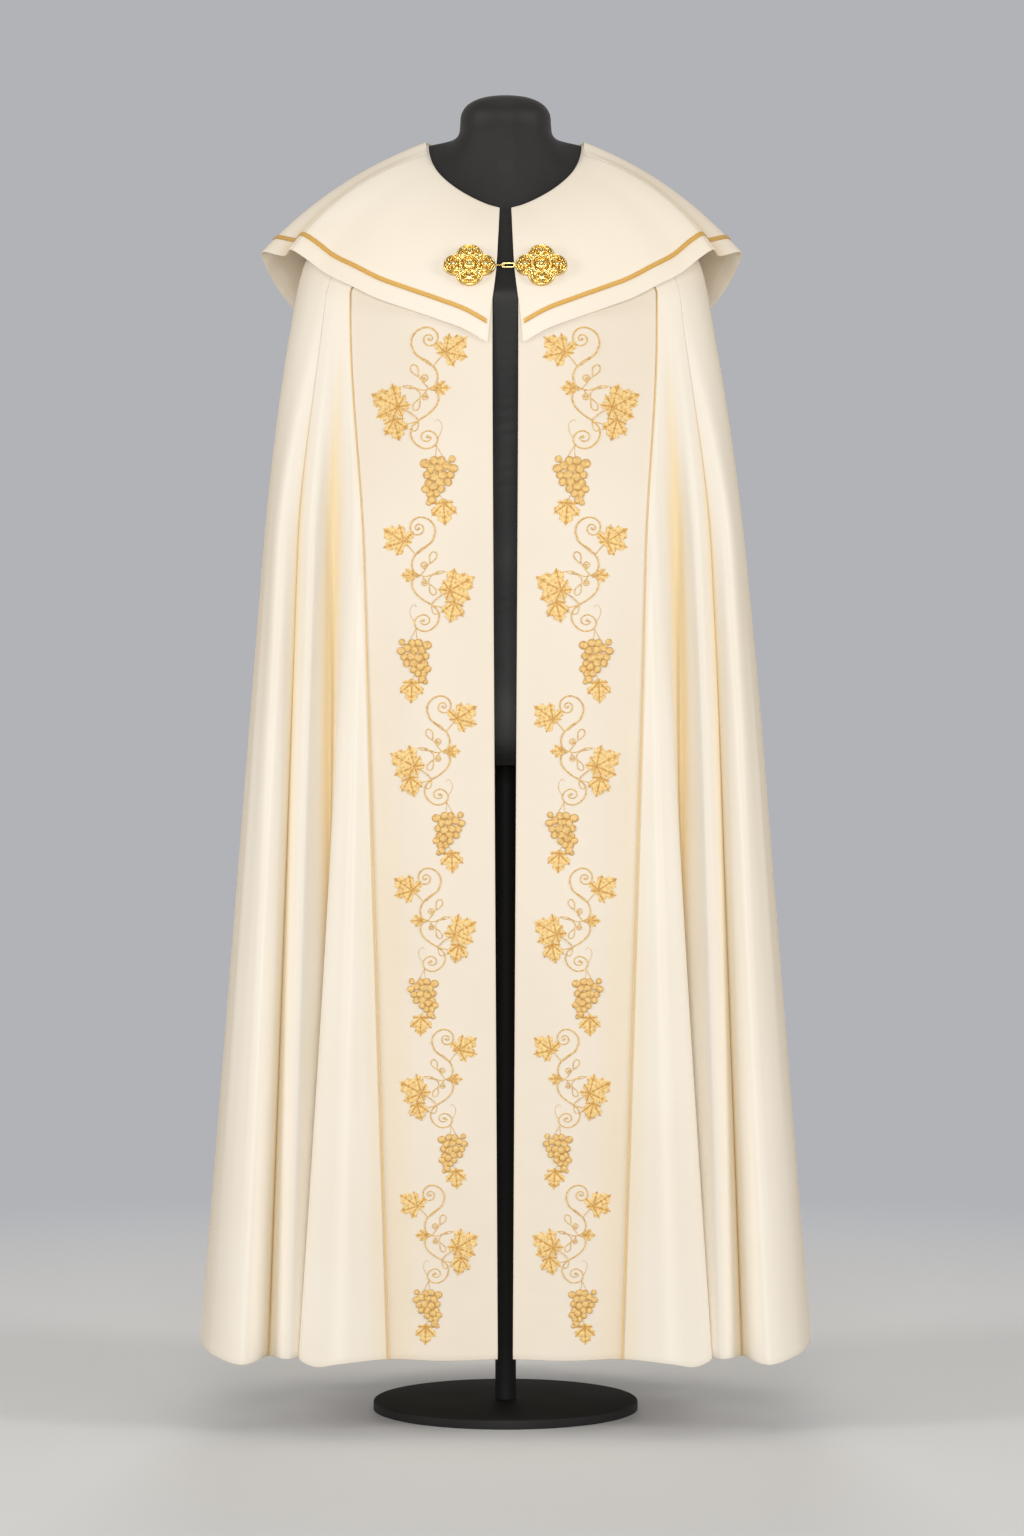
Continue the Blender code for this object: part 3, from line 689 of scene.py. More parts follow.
@dataclass(frozen=True)
class Neckline:
    """The neck opening, which climbs from a V at the front to the back of the neck."""

    oval: Oval = Oval(96.0, 88.0, 74.0, 2.0)
    v_z: float = 1483.0
    side_rise: float = 96.0
    back_rise: float = 5.0
    v_power: float = 1.4

    def point(self, angle: float, lift: float = 0.0) -> Array:
        """A point of the neckline, lifted off it outwards and upwards."""
        out, y = self.oval.point(angle)
        if angle <= 90.0:
            z = self.v_z + self.side_rise * (angle / 90.0) ** self.v_power
        else:
            z = self.v_z + self.side_rise + self.back_rise * (angle - 90.0) / 90.0
        away = unit(np.array([out, y, 0.0])) + np.array([0.0, 0.0, 1.0])
        return np.array([out, y, z]) + unit(away) * lift


def arc_points(start: Array, end: Array, swell: float, parts: Array) -> Array:
    """Points of a shallow arc that swells outwards and upwards from its chord."""
    chord = end - start
    across = math.hypot(chord[0], chord[1])
    normal = unit(np.array([-chord[2] * chord[0] / across, -chord[2] * chord[1] / across, across]))
    return start + chord * parts[:, None] + normal * (4.0 * swell * parts * (1.0 - parts))[:, None]


def hermite(start: Array, end: Array, start_slope: Array, end_slope: Array, part: Array) -> Array:
    """A cubic between two values with given slopes over the whole span."""
    square, cube = part ** 2, part ** 3
    return (
        start * (2.0 * cube - 3.0 * square + 1.0) + start_slope * (cube - 2.0 * square + part)
        + end * (3.0 * square - 2.0 * cube) + end_slope * (cube - square)
    )


class Fold(NamedTuple):
    """A fold line of the mantle: angles round neckline and yoke, out and y at the waist, and its hem."""

    name: str
    neck: float
    yoke: float
    waist_out: float
    waist_y: float
    hem_out: float
    hem_y: float
    hem_z: float


class CapeLine(NamedTuple):
    """A line of the shoulder cape: its angle at the neckline, its lower end and how far it swells."""

    name: str
    neck: float
    out: float
    y: float
    z: float
    swell: float


class Crease(NamedTuple):
    """A soft trough or ridge: it follows a fold line at an offset, between two heights.

    shift is how far it drifts sideways from its top to its bottom, width is its half width and depth is
    positive outwards, all at the hem in mm.
    """

    line: str
    offset: float
    top: float
    bottom: float
    shift: float
    width: float
    depth: float


@dataclass(frozen=True)
class Easing:
    """The shoulder at +X is a little narrower, fading out below the yoke."""

    part: float = 0.033
    low: float = 850.0
    high: float = 1340.0
    power: float = 1.5
    half_width: float = 262.0

    def drawn_in(self, points: Array) -> Array:
        """The points of a line at +X, drawn towards the centre plane."""
        height = np.clip((points[:, 2] - self.low) / (self.high - self.low), 0.0, 1.0)
        width = np.minimum(points[:, 0] / self.half_width, 1.0)
        moved = points.copy()
        moved[:, 0] *= 1.0 - self.part * height ** self.power * width
        return moved


def both_sides(
    left: Sequence[NamedTuple], centre: NamedTuple, right: Sequence[NamedTuple],
    line: Callable[[NamedTuple], Array],
) -> tuple[Array, list[str]]:
    """The lines of a whole sheet, from its left front edge round the back to its right one.

    Args:
        left: The rows of the table for the side at -X, front first.
        centre: The row for the middle of the back.
        right: The rows for the side at +X, front first.
        line: Gives the points of a row's line at +X.

    Returns:
        The points of each line, and the lines' names.
    """
    easing = Easing()
    lines = [line(row) * (-1.0, 1.0, 1.0) for row in left] + [line(centre)]
    lines += [easing.drawn_in(line(row)) for row in reversed(right)]
    names = ["left_" + row.name for row in left] + [centre.name]
    names += ["right_" + row.name for row in reversed(right)]
    return np.stack(lines), names


class Sheet:
    """A cloth surface as a grid of points, neckline to hem in rows and left front to right front across."""

    # Hollows, whose depth is painted as a warm shade on the satin: the distances to the neighbours on both
    # sides, the gain on the depth over that distance and its power; and how much of the painted shade is lost
    # at a crisp line, which light still reaches, and how far off it.
    REACHES = (20.0, 36.0, 52.0)
    GAIN = 2.3
    POWER = 1.2
    CRISP_LOSS = 0.2
    CRISP_REACH = 20.0

    def __init__(
        self, lines: Array, names: Sequence[str], step: Callable[[str, str], float], crisp: str | None = None,
    ) -> None:
        """Lofts the sheet across its lines.

        Args:
            lines: The points of each line, neckline first.
            names: Each line's name.
            step: Gives the widest step between columns at the lower edge, between two named lines.
            crisp: The end of the names of the lines where the cloth turns a corner, if it does.
        """
        spans = np.linalg.norm(np.diff(lines[:, -1], axis=0), axis=1)
        steps = [max(2, math.ceil(span / step(*pair))) for span, pair in zip(spans, zip(names, names[1:]))]
        sharp = [index for index, name in enumerate(names) if crisp and name.endswith(crisp)]
        self.column = {name: sum(steps[:index]) for index, name in enumerate(names)}
        self.crisp = [self.column[names[index]] for index in sharp]
        self.points = catmull_rom(lines, steps, sharp).transpose(1, 0, 2)
        self.update()

    def update(self) -> None:
        """Works out the outward normals and the distances along the rows."""
        along = np.gradient(self.points, axis=1)
        down = np.gradient(self.points, axis=0)
        self.normals = unit(np.cross(along, down))
        self.hem_distance = travelled(self.points[-1])

    def crease(self, creases: Sequence[Crease]) -> None:
        """Moves the points out or in along soft creases."""
        heights = self.points[:, :, 2]
        total = np.zeros(heights.shape)
        for item in creases:
            part = np.clip((item.top - heights) / (item.top - item.bottom), 0.0, 1.0)
            middle = self.hem_distance[self.column[item.line]] + item.offset + item.shift * part
            width = item.width * (0.55 + 0.45 * part)
            profile = np.exp(-((self.hem_distance[None, :] - middle) / width) ** 2)
            total += profile * np.sin(np.pi * part) ** 0.8 * item.depth
        self.points = self.points + self.normals * total[:, :, None]
        self.update()

    def hollows(self) -> Array:
        """How deep each point lies between its neighbours round the body, from 0 on a ridge to 1."""
        deepest = np.zeros(self.points.shape[:2])
        for index, (line, normals) in enumerate(zip(self.points, self.normals)):
            spots = travelled(line)
            for reach in self.REACHES:
                before, after = (sampled(spots + way, spots, line) for way in (-reach, reach))
                depth = (((before + after) / 2.0 - line) * normals).sum(axis=1) / reach
                deepest[index] = np.maximum(deepest[index], depth * self.GAIN)
            for column in self.crisp:
                beside = np.exp(-((spots - spots[column]) / self.CRISP_REACH) ** 2)
                deepest[index] *= 1.0 - self.CRISP_LOSS * beside
        return np.clip(deepest, 0.0, 1.0) ** self.POWER


class Edge(Enum):
    """A panel's side edge: how far its wall stops short of its line at the neckline and at the hem."""

    FREE = (0.75, 0.75)
    SEAM = (0.35, 0.35)
    CRISP_SEAM = (0.35, 1.05)


class Bound(NamedTuple):
    """A line of a sheet where panels end, and the kind of edge that they have there."""

    line: str
    edge: Edge


class Panel(NamedTuple):
    """A panel: its piece, the CAD node that it stands for and its face's finish."""

    name: str
    node: str
    face: str


@dataclass(frozen=True)
class Weight:
    """The cloth's wall and the strips of its own face that are turned under at its edges."""

    facing: float
    wall: float = 1.5
    seam_gap: float = 0.15
    rim_steps: int = 4

    def cut(self, sheet: Sheet, bounds: Sequence[Bound], panels: Sequence[Panel], wardrobe: Wardrobe) -> None:
        """Makes panels from a sheet.

        Args:
            sheet: The sheet.
            bounds: The lines where the panels end, from left to right.
            panels: The panels between them.
            wardrobe: Has each panel's face and the lining.
        """
        hollows = sheet.hollows()
        for panel, start, end in zip(panels, bounds, bounds[1:]):
            finishes = [wardrobe[panel.face], wardrobe["lining"]]
            shell = self._shell(sheet, start, end, hollows)
            add_piece(panel.name, shell, finishes, [panel.node])

    def _shell(self, sheet: Sheet, start: Bound, end: Bound, hollows: Array) -> MeshData:
        """A closed shell over some of a sheet's columns, with round edges.

        Args:
            sheet: The sheet.
            start: Where the shell starts.
            end: Where it ends.
            hollows: The depth of the sheet's hollows, for the shell's tone, which paints shade into the
                hollows of its face.

        Returns:
            The shell; face_finish is 1 on the lining.
        """
        span = slice(sheet.column[start.line], sheet.column[end.line] + 1)
        grid = sheet.points[:, span].copy()
        rows, columns = grid.shape[:2]
        along, down = (unit(np.gradient(grid, axis=axis)) for axis in (1, 0))
        normals = unit(np.cross(along, down))
        half = self.wall / 2.0
        grid[:, 0] += along[:, 0] * np.linspace(*start.edge.value, rows)[:, None]
        grid[:, -1] -= along[:, -1] * np.linspace(*end.edge.value, rows)[:, None]
        grid[0] += down[0] * half
        grid[-1] -= down[-1] * half
        edge = np.zeros((rows, columns, 3))
        edge[:, 0] -= along[:, 0] * self._roundness(start.edge)
        edge[:, -1] += along[:, -1] * self._roundness(end.edge)
        edge[0] -= down[0]
        edge[-1] += down[-1]
        rim = self._rim(rows, columns)
        bulge, middle, normal = (part.reshape(-1, 3)[rim] for part in (edge, grid, normals))
        bulge = bulge / np.maximum(np.linalg.norm(bulge, axis=1, keepdims=True), 1.0)
        layers = [(grid + normals * half).reshape(-1, 3), (grid - normals * half).reshape(-1, 3)]
        for turn in np.arange(1, self.rim_steps) * math.pi / self.rim_steps:
            layers.append(middle + normal * half * math.cos(turn) + bulge * half * math.sin(turn))
        u, v = self._threads(grid)
        uv, hollow = uv_grid(u, v), hollows[:, span].reshape(-1)
        uvs = [uv, uv] + [uv[rim]] * (self.rim_steps - 1)
        tones = [hollow, np.zeros(len(hollow))] + [hollow[rim]] * (self.rim_steps - 1)
        outer = grid_faces(rows, columns)
        near = np.minimum(np.minimum(u - u[:, :1], u[:, -1:] - u), np.minimum(v, v[-1:] - v)).reshape(-1)
        lined = near[outer].min(axis=1) > self.facing
        faces = np.concatenate([outer, outer[:, ::-1] + rows * columns, self._strips(rim, rows * columns)])
        finish = np.zeros(len(faces), np.int32)
        finish[len(outer):2 * len(outer)] = lined
        points, uv, tone = (np.concatenate(parts) for parts in (layers, uvs, tones))
        return MeshData(points, faces.tolist(), uv, tone, finish)

    def _roundness(self, edge: Edge) -> float:
        """How round a side edge is: 1 on a free edge, less where that would close the gap of a seam."""
        half = self.wall / 2.0
        return min(1.0, (edge.value[0] - self.seam_gap) / half) if edge is not Edge.FREE else 1.0

    @staticmethod
    def _threads(grid: Array) -> tuple[Array, Array]:
        """The distances across a grid from its middle column, and down it from its top row."""
        u = np.array([travelled(row) for row in grid])
        v = np.array([travelled(column) for column in grid.swapaxes(0, 1)]).T
        middle = grid.shape[1] // 2
        return u - u[:, middle:middle + 1], v

    def _strips(self, rim: Array, size: int) -> Array:
        """The faces round a shell's edge, from its outer to its inner face, each of that many points."""
        steps = np.arange(self.rim_steps - 1)[:, None] * len(rim)
        loops = [rim, *(2 * size + steps + np.arange(len(rim))), rim + size]
        return np.concatenate([
            np.stack([first, second, np.roll(second, -1), np.roll(first, -1)], -1)
            for first, second in zip(loops, loops[1:])
        ])

    @staticmethod
    def _rim(rows: int, columns: int) -> Array:
        """The numbers of a grid's edge points, in order round it."""
        top = np.arange(columns)
        right = np.arange(1, rows) * columns + columns - 1
        bottom = (rows - 1) * columns + np.arange(columns - 2, -1, -1)
        left = np.arange(rows - 2, 0, -1) * columns
        return np.concatenate([top, right, bottom, left])


# --- Mantle ---
@dataclass
class Mantle:
    """The body of the cope: two orphrey panels, two side fronts and the back, hanging in flutes."""

    wardrobe: Wardrobe
    neckline: Neckline = Neckline()
    yoke: Oval = Oval(262.0, 151.0, 142.0, 2.5)
    yoke_z: float = 1380.0
    waist_z: float = 1060.0
    straight_below: float = 40.0
    free_above: float = 75.0
    flare_power: float = 1.15
    rise_front: float = 8.5
    rise_side: float = 39.0
    rise_back: float = 16.0
    dome_rows: int = 19
    fall_rows: int = 40
    skirt_rows: int = 122
    weight: Weight = Weight(facing=26.0)
    sheet: Sheet = field(init=False)

    FRONT = (
        Fold("front_edge", 6.5, 1.7, 14.5, -190.0, 9.0, -205.0, 91.0),
        Fold("orphrey_middle", 21.0, 18.0, 93.0, -194.0, 75.0, -209.0, 89.5),
        Fold("piping", 38.0, 41.6, 170.5, -187.0, 140.0, -208.0, 91.5),
        Fold("panel_swell", 41.0, 42.3, 178.0, -185.0, 197.0, -229.0, 88.5),
        Fold("flute_c_front", 44.0, 43.1, 184.0, -181.0, 227.0, -221.0, 84.0),
        Fold("flute_c_side", 47.0, 44.0, 190.5, -174.0, 247.5, -203.0, 92.0),
        Fold("flute_c_valley", 50.5, 46.2, 211.0, -148.0, 215.0, -140.0, 100.0),
        Fold("flute_b_front", 54.5, 49.2, 234.0, -156.0, 259.0, -200.0, 90.5),
        Fold("side_seam", 59.0, 53.3, 252.5, -135.0, 285.5, -176.0, 91.5),
        Fold("flute_a_front", 64.0, 58.0, 275.0, -137.0, 315.0, -211.0, 85.0),
        Fold("flute_a_crown", 72.0, 68.0, 292.0, -94.0, 352.0, -176.0, 92.0),
        Fold("flute_a_side", 82.0, 81.0, 300.0, -43.0, 373.0, -96.0, 99.0),
        Fold("flute_a_back", 92.0, 94.0, 301.0, 0.0, 370.0, -14.0, 96.0),
        Fold("side_valley", 102.0, 104.0, 290.0, 38.0, 333.0, 34.0, 95.0),
    )
    BACK_LEFT = (
        Fold("flute_1", 111.0, 114.0, 286.0, 78.0, 347.0, 112.0, 88.0),
        Fold("valley_1", 120.0, 123.0, 262.0, 106.0, 293.0, 126.0, 96.0),
        Fold("flute_2", 129.0, 132.0, 240.0, 140.0, 274.0, 214.0, 86.0),
        Fold("valley_2", 139.0, 141.0, 203.0, 151.0, 212.0, 194.0, 95.0),
        Fold("flute_3", 149.0, 150.0, 166.0, 180.0, 168.0, 262.0, 87.0),
        Fold("valley_3", 159.0, 159.0, 118.0, 178.0, 106.0, 219.0, 94.0),
        Fold("flute_4", 170.0, 169.0, 66.0, 197.0, 54.0, 274.0, 86.5),
    )
    BACK_RIGHT = (
        Fold("flute_1", 111.0, 114.0, 285.0, 80.0, 343.0, 121.0, 87.0),
        Fold("valley_1", 120.0, 124.0, 262.0, 108.0, 297.0, 135.0, 95.0),
        Fold("flute_2", 129.0, 133.0, 238.0, 139.0, 268.0, 207.0, 87.0),
        Fold("valley_2", 139.0, 141.0, 205.0, 150.0, 221.0, 189.0, 96.0),
        Fold("flute_3", 149.0, 149.0, 170.0, 180.0, 183.0, 268.0, 86.0),
        Fold("valley_3", 159.0, 158.0, 124.0, 178.0, 124.0, 222.0, 94.5),
        Fold("flute_4", 170.0, 168.0, 70.0, 195.0, 66.0, 263.0, 87.0),
    )
    CENTRE_BACK = Fold("centre_back", 180.0, 180.0, 0.0, 189.0, 0.0, 240.0, 92.0)
    FLARED = ("flute_c_front", "flute_c_side")
    CREASES = (
        Crease("left_flute_a_crown", -6.0, 1180.0, 240.0, 10.0, 15.0, 2.2),
        Crease("left_flute_a_side", 8.0, 1240.0, 150.0, -8.0, 20.0, -3.0),
        Crease("left_flute_a_back", 0.0, 1120.0, 320.0, 9.0, 16.0, 2.4),
        Crease("left_flute_a_front", 12.0, 760.0, 120.0, 5.0, 9.0, -1.4),
        Crease("left_panel_swell", 0.0, 980.0, 330.0, 7.0, 8.0, -0.9),
        Crease("left_flute_1", 14.0, 1150.0, 260.0, 12.0, 17.0, 2.8),
        Crease("left_valley_1", 22.0, 900.0, 110.0, -10.0, 14.0, 2.2),
        Crease("left_flute_2", -26.0, 1190.0, 420.0, -8.0, 15.0, -2.6),
        Crease("left_flute_2", 24.0, 820.0, 90.0, 10.0, 16.0, -2.4),
        Crease("left_valley_2", 6.0, 1160.0, 180.0, 9.0, 17.0, 3.0),
        Crease("left_flute_3", -20.0, 900.0, 140.0, -12.0, 14.0, 2.4),
        Crease("left_flute_3", 22.0, 1180.0, 520.0, 8.0, 13.0, -2.2),
        Crease("left_valley_3", -10.0, 1120.0, 200.0, 10.0, 18.0, 2.6),
        Crease("left_flute_4", 18.0, 1150.0, 130.0, -7.0, 16.0, -2.8),
        Crease("centre_back", -8.0, 1100.0, 260.0, 12.0, 16.0, 2.6),
        Crease("right_flute_4", 20.0, 880.0, 100.0, 10.0, 14.0, 2.3),
        Crease("right_valley_3", 12.0, 1170.0, 300.0, -10.0, 17.0, -2.6),
        Crease("right_flute_3", -18.0, 1140.0, 160.0, 8.0, 16.0, 2.8),
        Crease("right_flute_3", 24.0, 760.0, 95.0, -8.0, 12.0, -2.0),
        Crease("right_valley_2", -6.0, 1180.0, 380.0, 10.0, 15.0, 2.5),
        Crease("right_flute_2", 20.0, 1100.0, 120.0, 12.0, 16.0, -2.8),
        Crease("right_valley_1", -14.0, 960.0, 210.0, 8.0, 15.0, 2.2),
        Crease("right_flute_1", -12.0, 1170.0, 170.0, -9.0, 17.0, 2.6),
        Crease("right_flute_a_back", 4.0, 1090.0, 280.0, -10.0, 16.0, 2.2),
        Crease("right_flute_a_side", -8.0, 1230.0, 130.0, 9.0, 19.0, -2.8),
        Crease("right_flute_a_crown", 7.0, 1060.0, 330.0, -9.0, 13.0, 1.9),
        Crease("right_flute_a_front", -11.0, 820.0, 160.0, -6.0, 9.0, -1.3),
        Crease("right_panel_swell", 1.0, 1020.0, 280.0, -7.0, 8.0, -0.9),
    )

    # The widest steps between columns at the hem, by what is in the name of either line: the finest are on
    # the orphreys and the sharpest flutes, the widest on the back.
    STEPS = (
        ("orphrey_middle", 3.6), ("valley_", 8.6), ("flute_4", 8.6), ("centre", 8.6), ("flute_c", 5.0),
        ("flute_b", 5.0), ("", 7.4),
    )
    BOUNDS = (
        Bound("left_front_edge", Edge.FREE),
        Bound("left_piping", Edge.SEAM),
        Bound("left_side_seam", Edge.CRISP_SEAM),
        Bound("right_side_seam", Edge.CRISP_SEAM),
        Bound("right_piping", Edge.SEAM),
        Bound("right_front_edge", Edge.FREE),
    )
    PANELS = (
        Panel("left_orphrey_panel", "orphrey_left", "orphrey"),
        Panel("left_side_panel", "mantle_left", "satin"),
        Panel("back_panel", "mantle_back", "back"),
        Panel("right_side_panel", "mantle_right", "satin"),
        Panel("right_orphrey_panel", "orphrey_right", "orphrey"),
    )

    def __post_init__(self) -> None:
        """Lofts the sheet and creases it."""
        left, right = self.FRONT + self.BACK_LEFT, self.FRONT + self.BACK_RIGHT
        lines, names = both_sides(left, self.CENTRE_BACK, right, self._line)
        self.sheet = Sheet(lines, names, self._step, "side_seam")
        self.sheet.crease(self.CREASES)

    def _step(self, name: str, following: str) -> float:
        """The widest step between the columns of two lines at the hem."""
        return next(step for part, step in self.STEPS if part in name or part in following)

    def _line(self, row: Fold) -> Array:
        """The points of one fold line, neckline to hem, where out is positive x."""
        neck = self.neckline.point(row.neck)
        yoke = np.array([*self.yoke.point(row.yoke), self.yoke_z])
        ends = self.rise_front if row.yoke <= 90.0 else self.rise_back
        rise = ends + (self.rise_side - ends) * math.sin(math.radians(row.yoke)) ** 2
        dome = arc_points(neck, yoke, rise, np.linspace(0.0, 1.0, self.dome_rows))
        last = yoke - arc_points(neck, yoke, rise, np.array([0.99]))[0]
        freedom = (row.yoke - self.straight_below) / (self.free_above - self.straight_below)
        slopes = last[:2] / last[2] * (min(max(freedom, 0.0), 1.0), 1.0)
        waist = np.array([row.waist_out, row.waist_y])
        hem = np.array([row.hem_out, row.hem_y])
        fall, hem_fall = self.waist_z - self.yoke_z, row.hem_z - self.waist_z
        upper = np.linspace(0.0, 1.0, self.fall_rows + 1)[1:, None]
        lower = np.linspace(0.0, 1.0, self.skirt_rows + 1)[1:, None]
        body = hermite(yoke[:2], waist, slopes * fall, (hem - waist) / hem_fall * fall, upper)
        power = (self.flare_power if row.name in self.FLARED else 1.0, 1.0)
        skirt = waist + (hem - waist) * lower ** power
        return np.concatenate([
            dome,
            np.concatenate([body, self.yoke_z + fall * upper], axis=1),
            np.concatenate([skirt, self.waist_z + hem_fall * lower], axis=1),
        ])

    def build(self) -> None:
        """Makes the five panels."""
        self.weight.cut(self.sheet, self.BOUNDS, self.PANELS, self.wardrobe)


# --- Shoulder cape ---
@dataclass
class Cape:
    """The shoulder cape, which is longest at the back, with its braid."""

    wardrobe: Wardrobe
    neckline: Neckline = Neckline()
    neck_lift: float = 3.7
    rows: int = 40
    column_step: float = 5.2
    weight: Weight = Weight(facing=14.0)
    braid_inset: float = 25.0
    braid_width: float = 6.0
    braid_end: float = 4.0
    sheet: Sheet = field(init=False)

    LINES = (
        CapeLine("front_edge", 5.5, 18.0, -169.0, 1313.0, 18.0),
        CapeLine("front_1", 12.0, 50.0, -166.5, 1330.0, 19.0),
        CapeLine("front_2", 21.0, 86.0, -160.5, 1344.0, 18.0),
        CapeLine("front_3", 31.0, 127.0, -151.0, 1359.0, 20.0),
        CapeLine("front_4", 41.0, 158.0, -142.0, 1371.0, 21.0),
        CapeLine("front_5", 52.0, 190.0, -129.0, 1388.0, 22.0),
        CapeLine("front_6", 62.0, 221.0, -112.0, 1405.0, 22.0),
        CapeLine("front_7", 71.0, 246.0, -98.0, 1425.0, 20.0),
        CapeLine("shoulder", 78.0, 264.0, -84.0, 1437.0, 18.0),
        CapeLine("dip", 83.0, 273.0, -54.0, 1433.0, 17.0),
        CapeLine("tip", 90.0, 305.0, 2.0, 1444.0, 15.0),
        CapeLine("back_1", 98.0, 301.0, 32.0, 1429.0, 20.0),
        CapeLine("back_2", 107.0, 291.0, 70.0, 1411.0, 24.0),
        CapeLine("back_3", 119.0, 268.0, 112.0, 1383.0, 29.0),
        CapeLine("back_4", 135.0, 213.0, 150.0, 1333.0, 32.0),
        CapeLine("back_5", 156.0, 122.0, 172.0, 1277.0, 30.0),
    )
    CENTRE_BACK = CapeLine("centre_back", 180.0, 0.0, 182.0, 1243.0, 27.0)
    # How far down the front edge, and how far it moves out there: close above the clasp, spread below it.
    SLIT = ((0.0, 0.2, 0.4, 0.52, 0.62, 0.75, 0.9, 1.0), (-2.4, -4.0, -4.8, -4.5, -3.2, -0.8, 1.6, 3.2))

    BOUNDS = (
        Bound("left_front_edge", Edge.FREE),
        Bound("left_shoulder", Edge.SEAM),
        Bound("right_shoulder", Edge.SEAM),
        Bound("right_front_edge", Edge.FREE),
    )
    PANELS = tuple(Panel(f"cape_{part}_panel", "cape_" + part, "cape") for part in ("left", "back", "right"))

    def __post_init__(self) -> None:
        """Lofts the sheet."""
        lines, names = both_sides(self.LINES, self.CENTRE_BACK, self.LINES, self._line)
        self.sheet = Sheet(lines, names, lambda name, following: self.column_step)

    def _line(self, row: CapeLine) -> Array:
        """The points of one line, neckline to lower edge, where out is positive x."""
        neck = self.neckline.point(row.neck, self.neck_lift)
        parts = np.linspace(0.0, 1.0, self.rows)
        line = arc_points(neck, np.array([row.out, row.y, row.z]), row.swell, parts)
        if row.name == "front_edge":
            line[:, 0] += np.interp(parts, *self.SLIT)
        return line

    def build(self) -> None:
        """Makes the three panels."""
        self.weight.cut(self.sheet, self.BOUNDS, self.PANELS, self.wardrobe)


# --- Braid and piping ---
@dataclass
class Braid:
    """The flat gold braid on the cape: two edge cords with a woven middle between them."""

    wardrobe: Wardrobe
    cape: Cape
    step: float = 0.8
    set_off: float = 0.12
    base: float = 0.5
    crown: float = 0.55
    cord: float = 0.42
    cord_place: float = 0.8
    cord_spread: float = 0.12
    cord_pitch: float = 2.4
    chevron: float = 0.09
    chevron_pitch: float = 2.0
    end_round: float = 0.8
    end_height: float = 0.35
    seam_gap: float = 0.1

    ACROSS = (-1.0, -0.99, -0.9, -0.8, -0.7, -0.62, -0.35, 0.0, 0.35, 0.62, 0.7, 0.8, 0.9, 0.99, 1.0)
    # Tones for the parts of the half width: the middle, the groove beside the cord, the cord and the edge.
    TONES = ((0.0, 0.6, 0.66, 0.96), (1.0, 0.35, 1.0, 0.25))

    def _middle_line(self) -> tuple[Array, Array, Array]:
        """The braid's middle all round the cape's face, with the directions down the cape and out of it."""
        sheet = self.cape.sheet
        places, downs, normals = [], [], []
        spots = self.cape.braid_inset + np.array([-2.0, 0.0, 2.0])
        for column in range(sheet.points.shape[1]):
            line = sheet.points[::-1, column]
            risen = travelled(line)
            low, middle, high = sampled(spots, risen, line)
            places.append(middle)
            downs.append(low - high)
            normals.append(sampled(spots[1], risen, sheet.normals[::-1, column]))
        return np.array(places), unit(np.array(downs)), unit(np.array(normals))

    def _relief(self, spots: Array, t: Array) -> Array:
        """How thick the braid is at distances along it and at parts of its half width."""
        body = self.crown * np.sqrt(np.maximum(0.0, 1.0 - t ** 2)) ** 0.6
        twist = 0.82 + 0.18 * np.cos(TURN * spots / self.cord_pitch + np.sign(t) * 1.2)
        cords = self.cord * np.exp(-((np.abs(t) - self.cord_place) / self.cord_spread) ** 2) * twist
        woven = np.cos(TURN * (spots / self.chevron_pitch + np.abs(t) * 0.9)) * (np.abs(t) < 0.6)
        return self.base + body + cords + self.chevron * woven

    def _band(self, start: float, end: float, lines: tuple[Array, Array, Array], length: Array) -> MeshData:
        """The braid between two distances round the cape.

        Args:
            start: Where it starts, in mm from the left front edge.
            end: Where it ends.
            lines: The middle line with its directions.
            length: The distance at each of its points.

        Returns:
            The closed band.
        """
        spots = np.linspace(start, end, math.ceil((end - start) / self.step) + 1)
        place, down, normal = (sampled(spots, length, part)[:, None] for part in lines)
        t = np.array(self.ACROSS)
        width, sole = t * self.cape.braid_width / 2.0, t[[0, -1]] * self.cape.braid_width / 2.0
        ends = np.clip(np.minimum(spots - start, end - spots) / self.end_round, 0.0, 1.0) ** 0.5
        lift = self.cape.weight.wall / 2.0 + self.set_off
        rounded = self.end_height + (1.0 - self.end_height) * ends[:, None]
        height = lift + self._relief(spots[:, None], t) * rounded
        height[:, 0] = height[:, -1] = lift
        top = place + down * width[:, None] + normal * height[:, :, None]
        bottom = place + down * sole[:, None] + normal * lift
        rows, across = len(spots), len(t)
        size = rows * across
        row = np.arange(rows - 1)
        left, left_sole = row * across, size + row * 2
        right, right_sole = left + across - 1, left_sole + 1
        quads = np.concatenate([
            grid_faces(rows, across)[:, ::-1],
            grid_faces(rows, 2, first=size),
            np.stack([left, left + across, left_sole + 2, left_sole], -1),
            np.stack([right, right_sole, right_sole + 2, right + across], -1),
        ])
        closing = [
            (*range(across), size + 1, size),
            (*reversed(range(size - across, size)), size + 2 * rows - 2, size + 2 * rows - 1),
        ]
        parts, tones = self.TONES
        tone = np.array(tones)[np.searchsorted(parts, np.abs(t), "right") - 1]
        return MeshData(
            np.concatenate([top.reshape(-1, 3), bottom.reshape(-1, 3)]),
            quads.tolist() + closing,
            np.concatenate([uv_grid(spots[:, None], width), uv_grid(spots[:, None], sole)]),
            np.concatenate([np.tile(tone, rows), np.full(rows * 2, 0.2)]),
        )

    def build(self) -> None:
        """Makes the three lengths."""
        lines = self._middle_line()
        length = travelled(lines[0])
        gap, end = self.seam_gap, self.cape.braid_end
        left, right = (length[self.cape.sheet.column[side + "_shoulder"]] for side in ("left", "right"))
        spans = (
            ("braid_left", end, left - gap),
            ("braid_back", left + gap, right - gap),
            ("braid_right", right + gap, length[-1] - end),
        )
        for name, start, stop in spans:
            data = self._band(start, stop, lines, length)
            add_piece(name + "_band", data, [self.wardrobe["braid"]], [name], "thread")


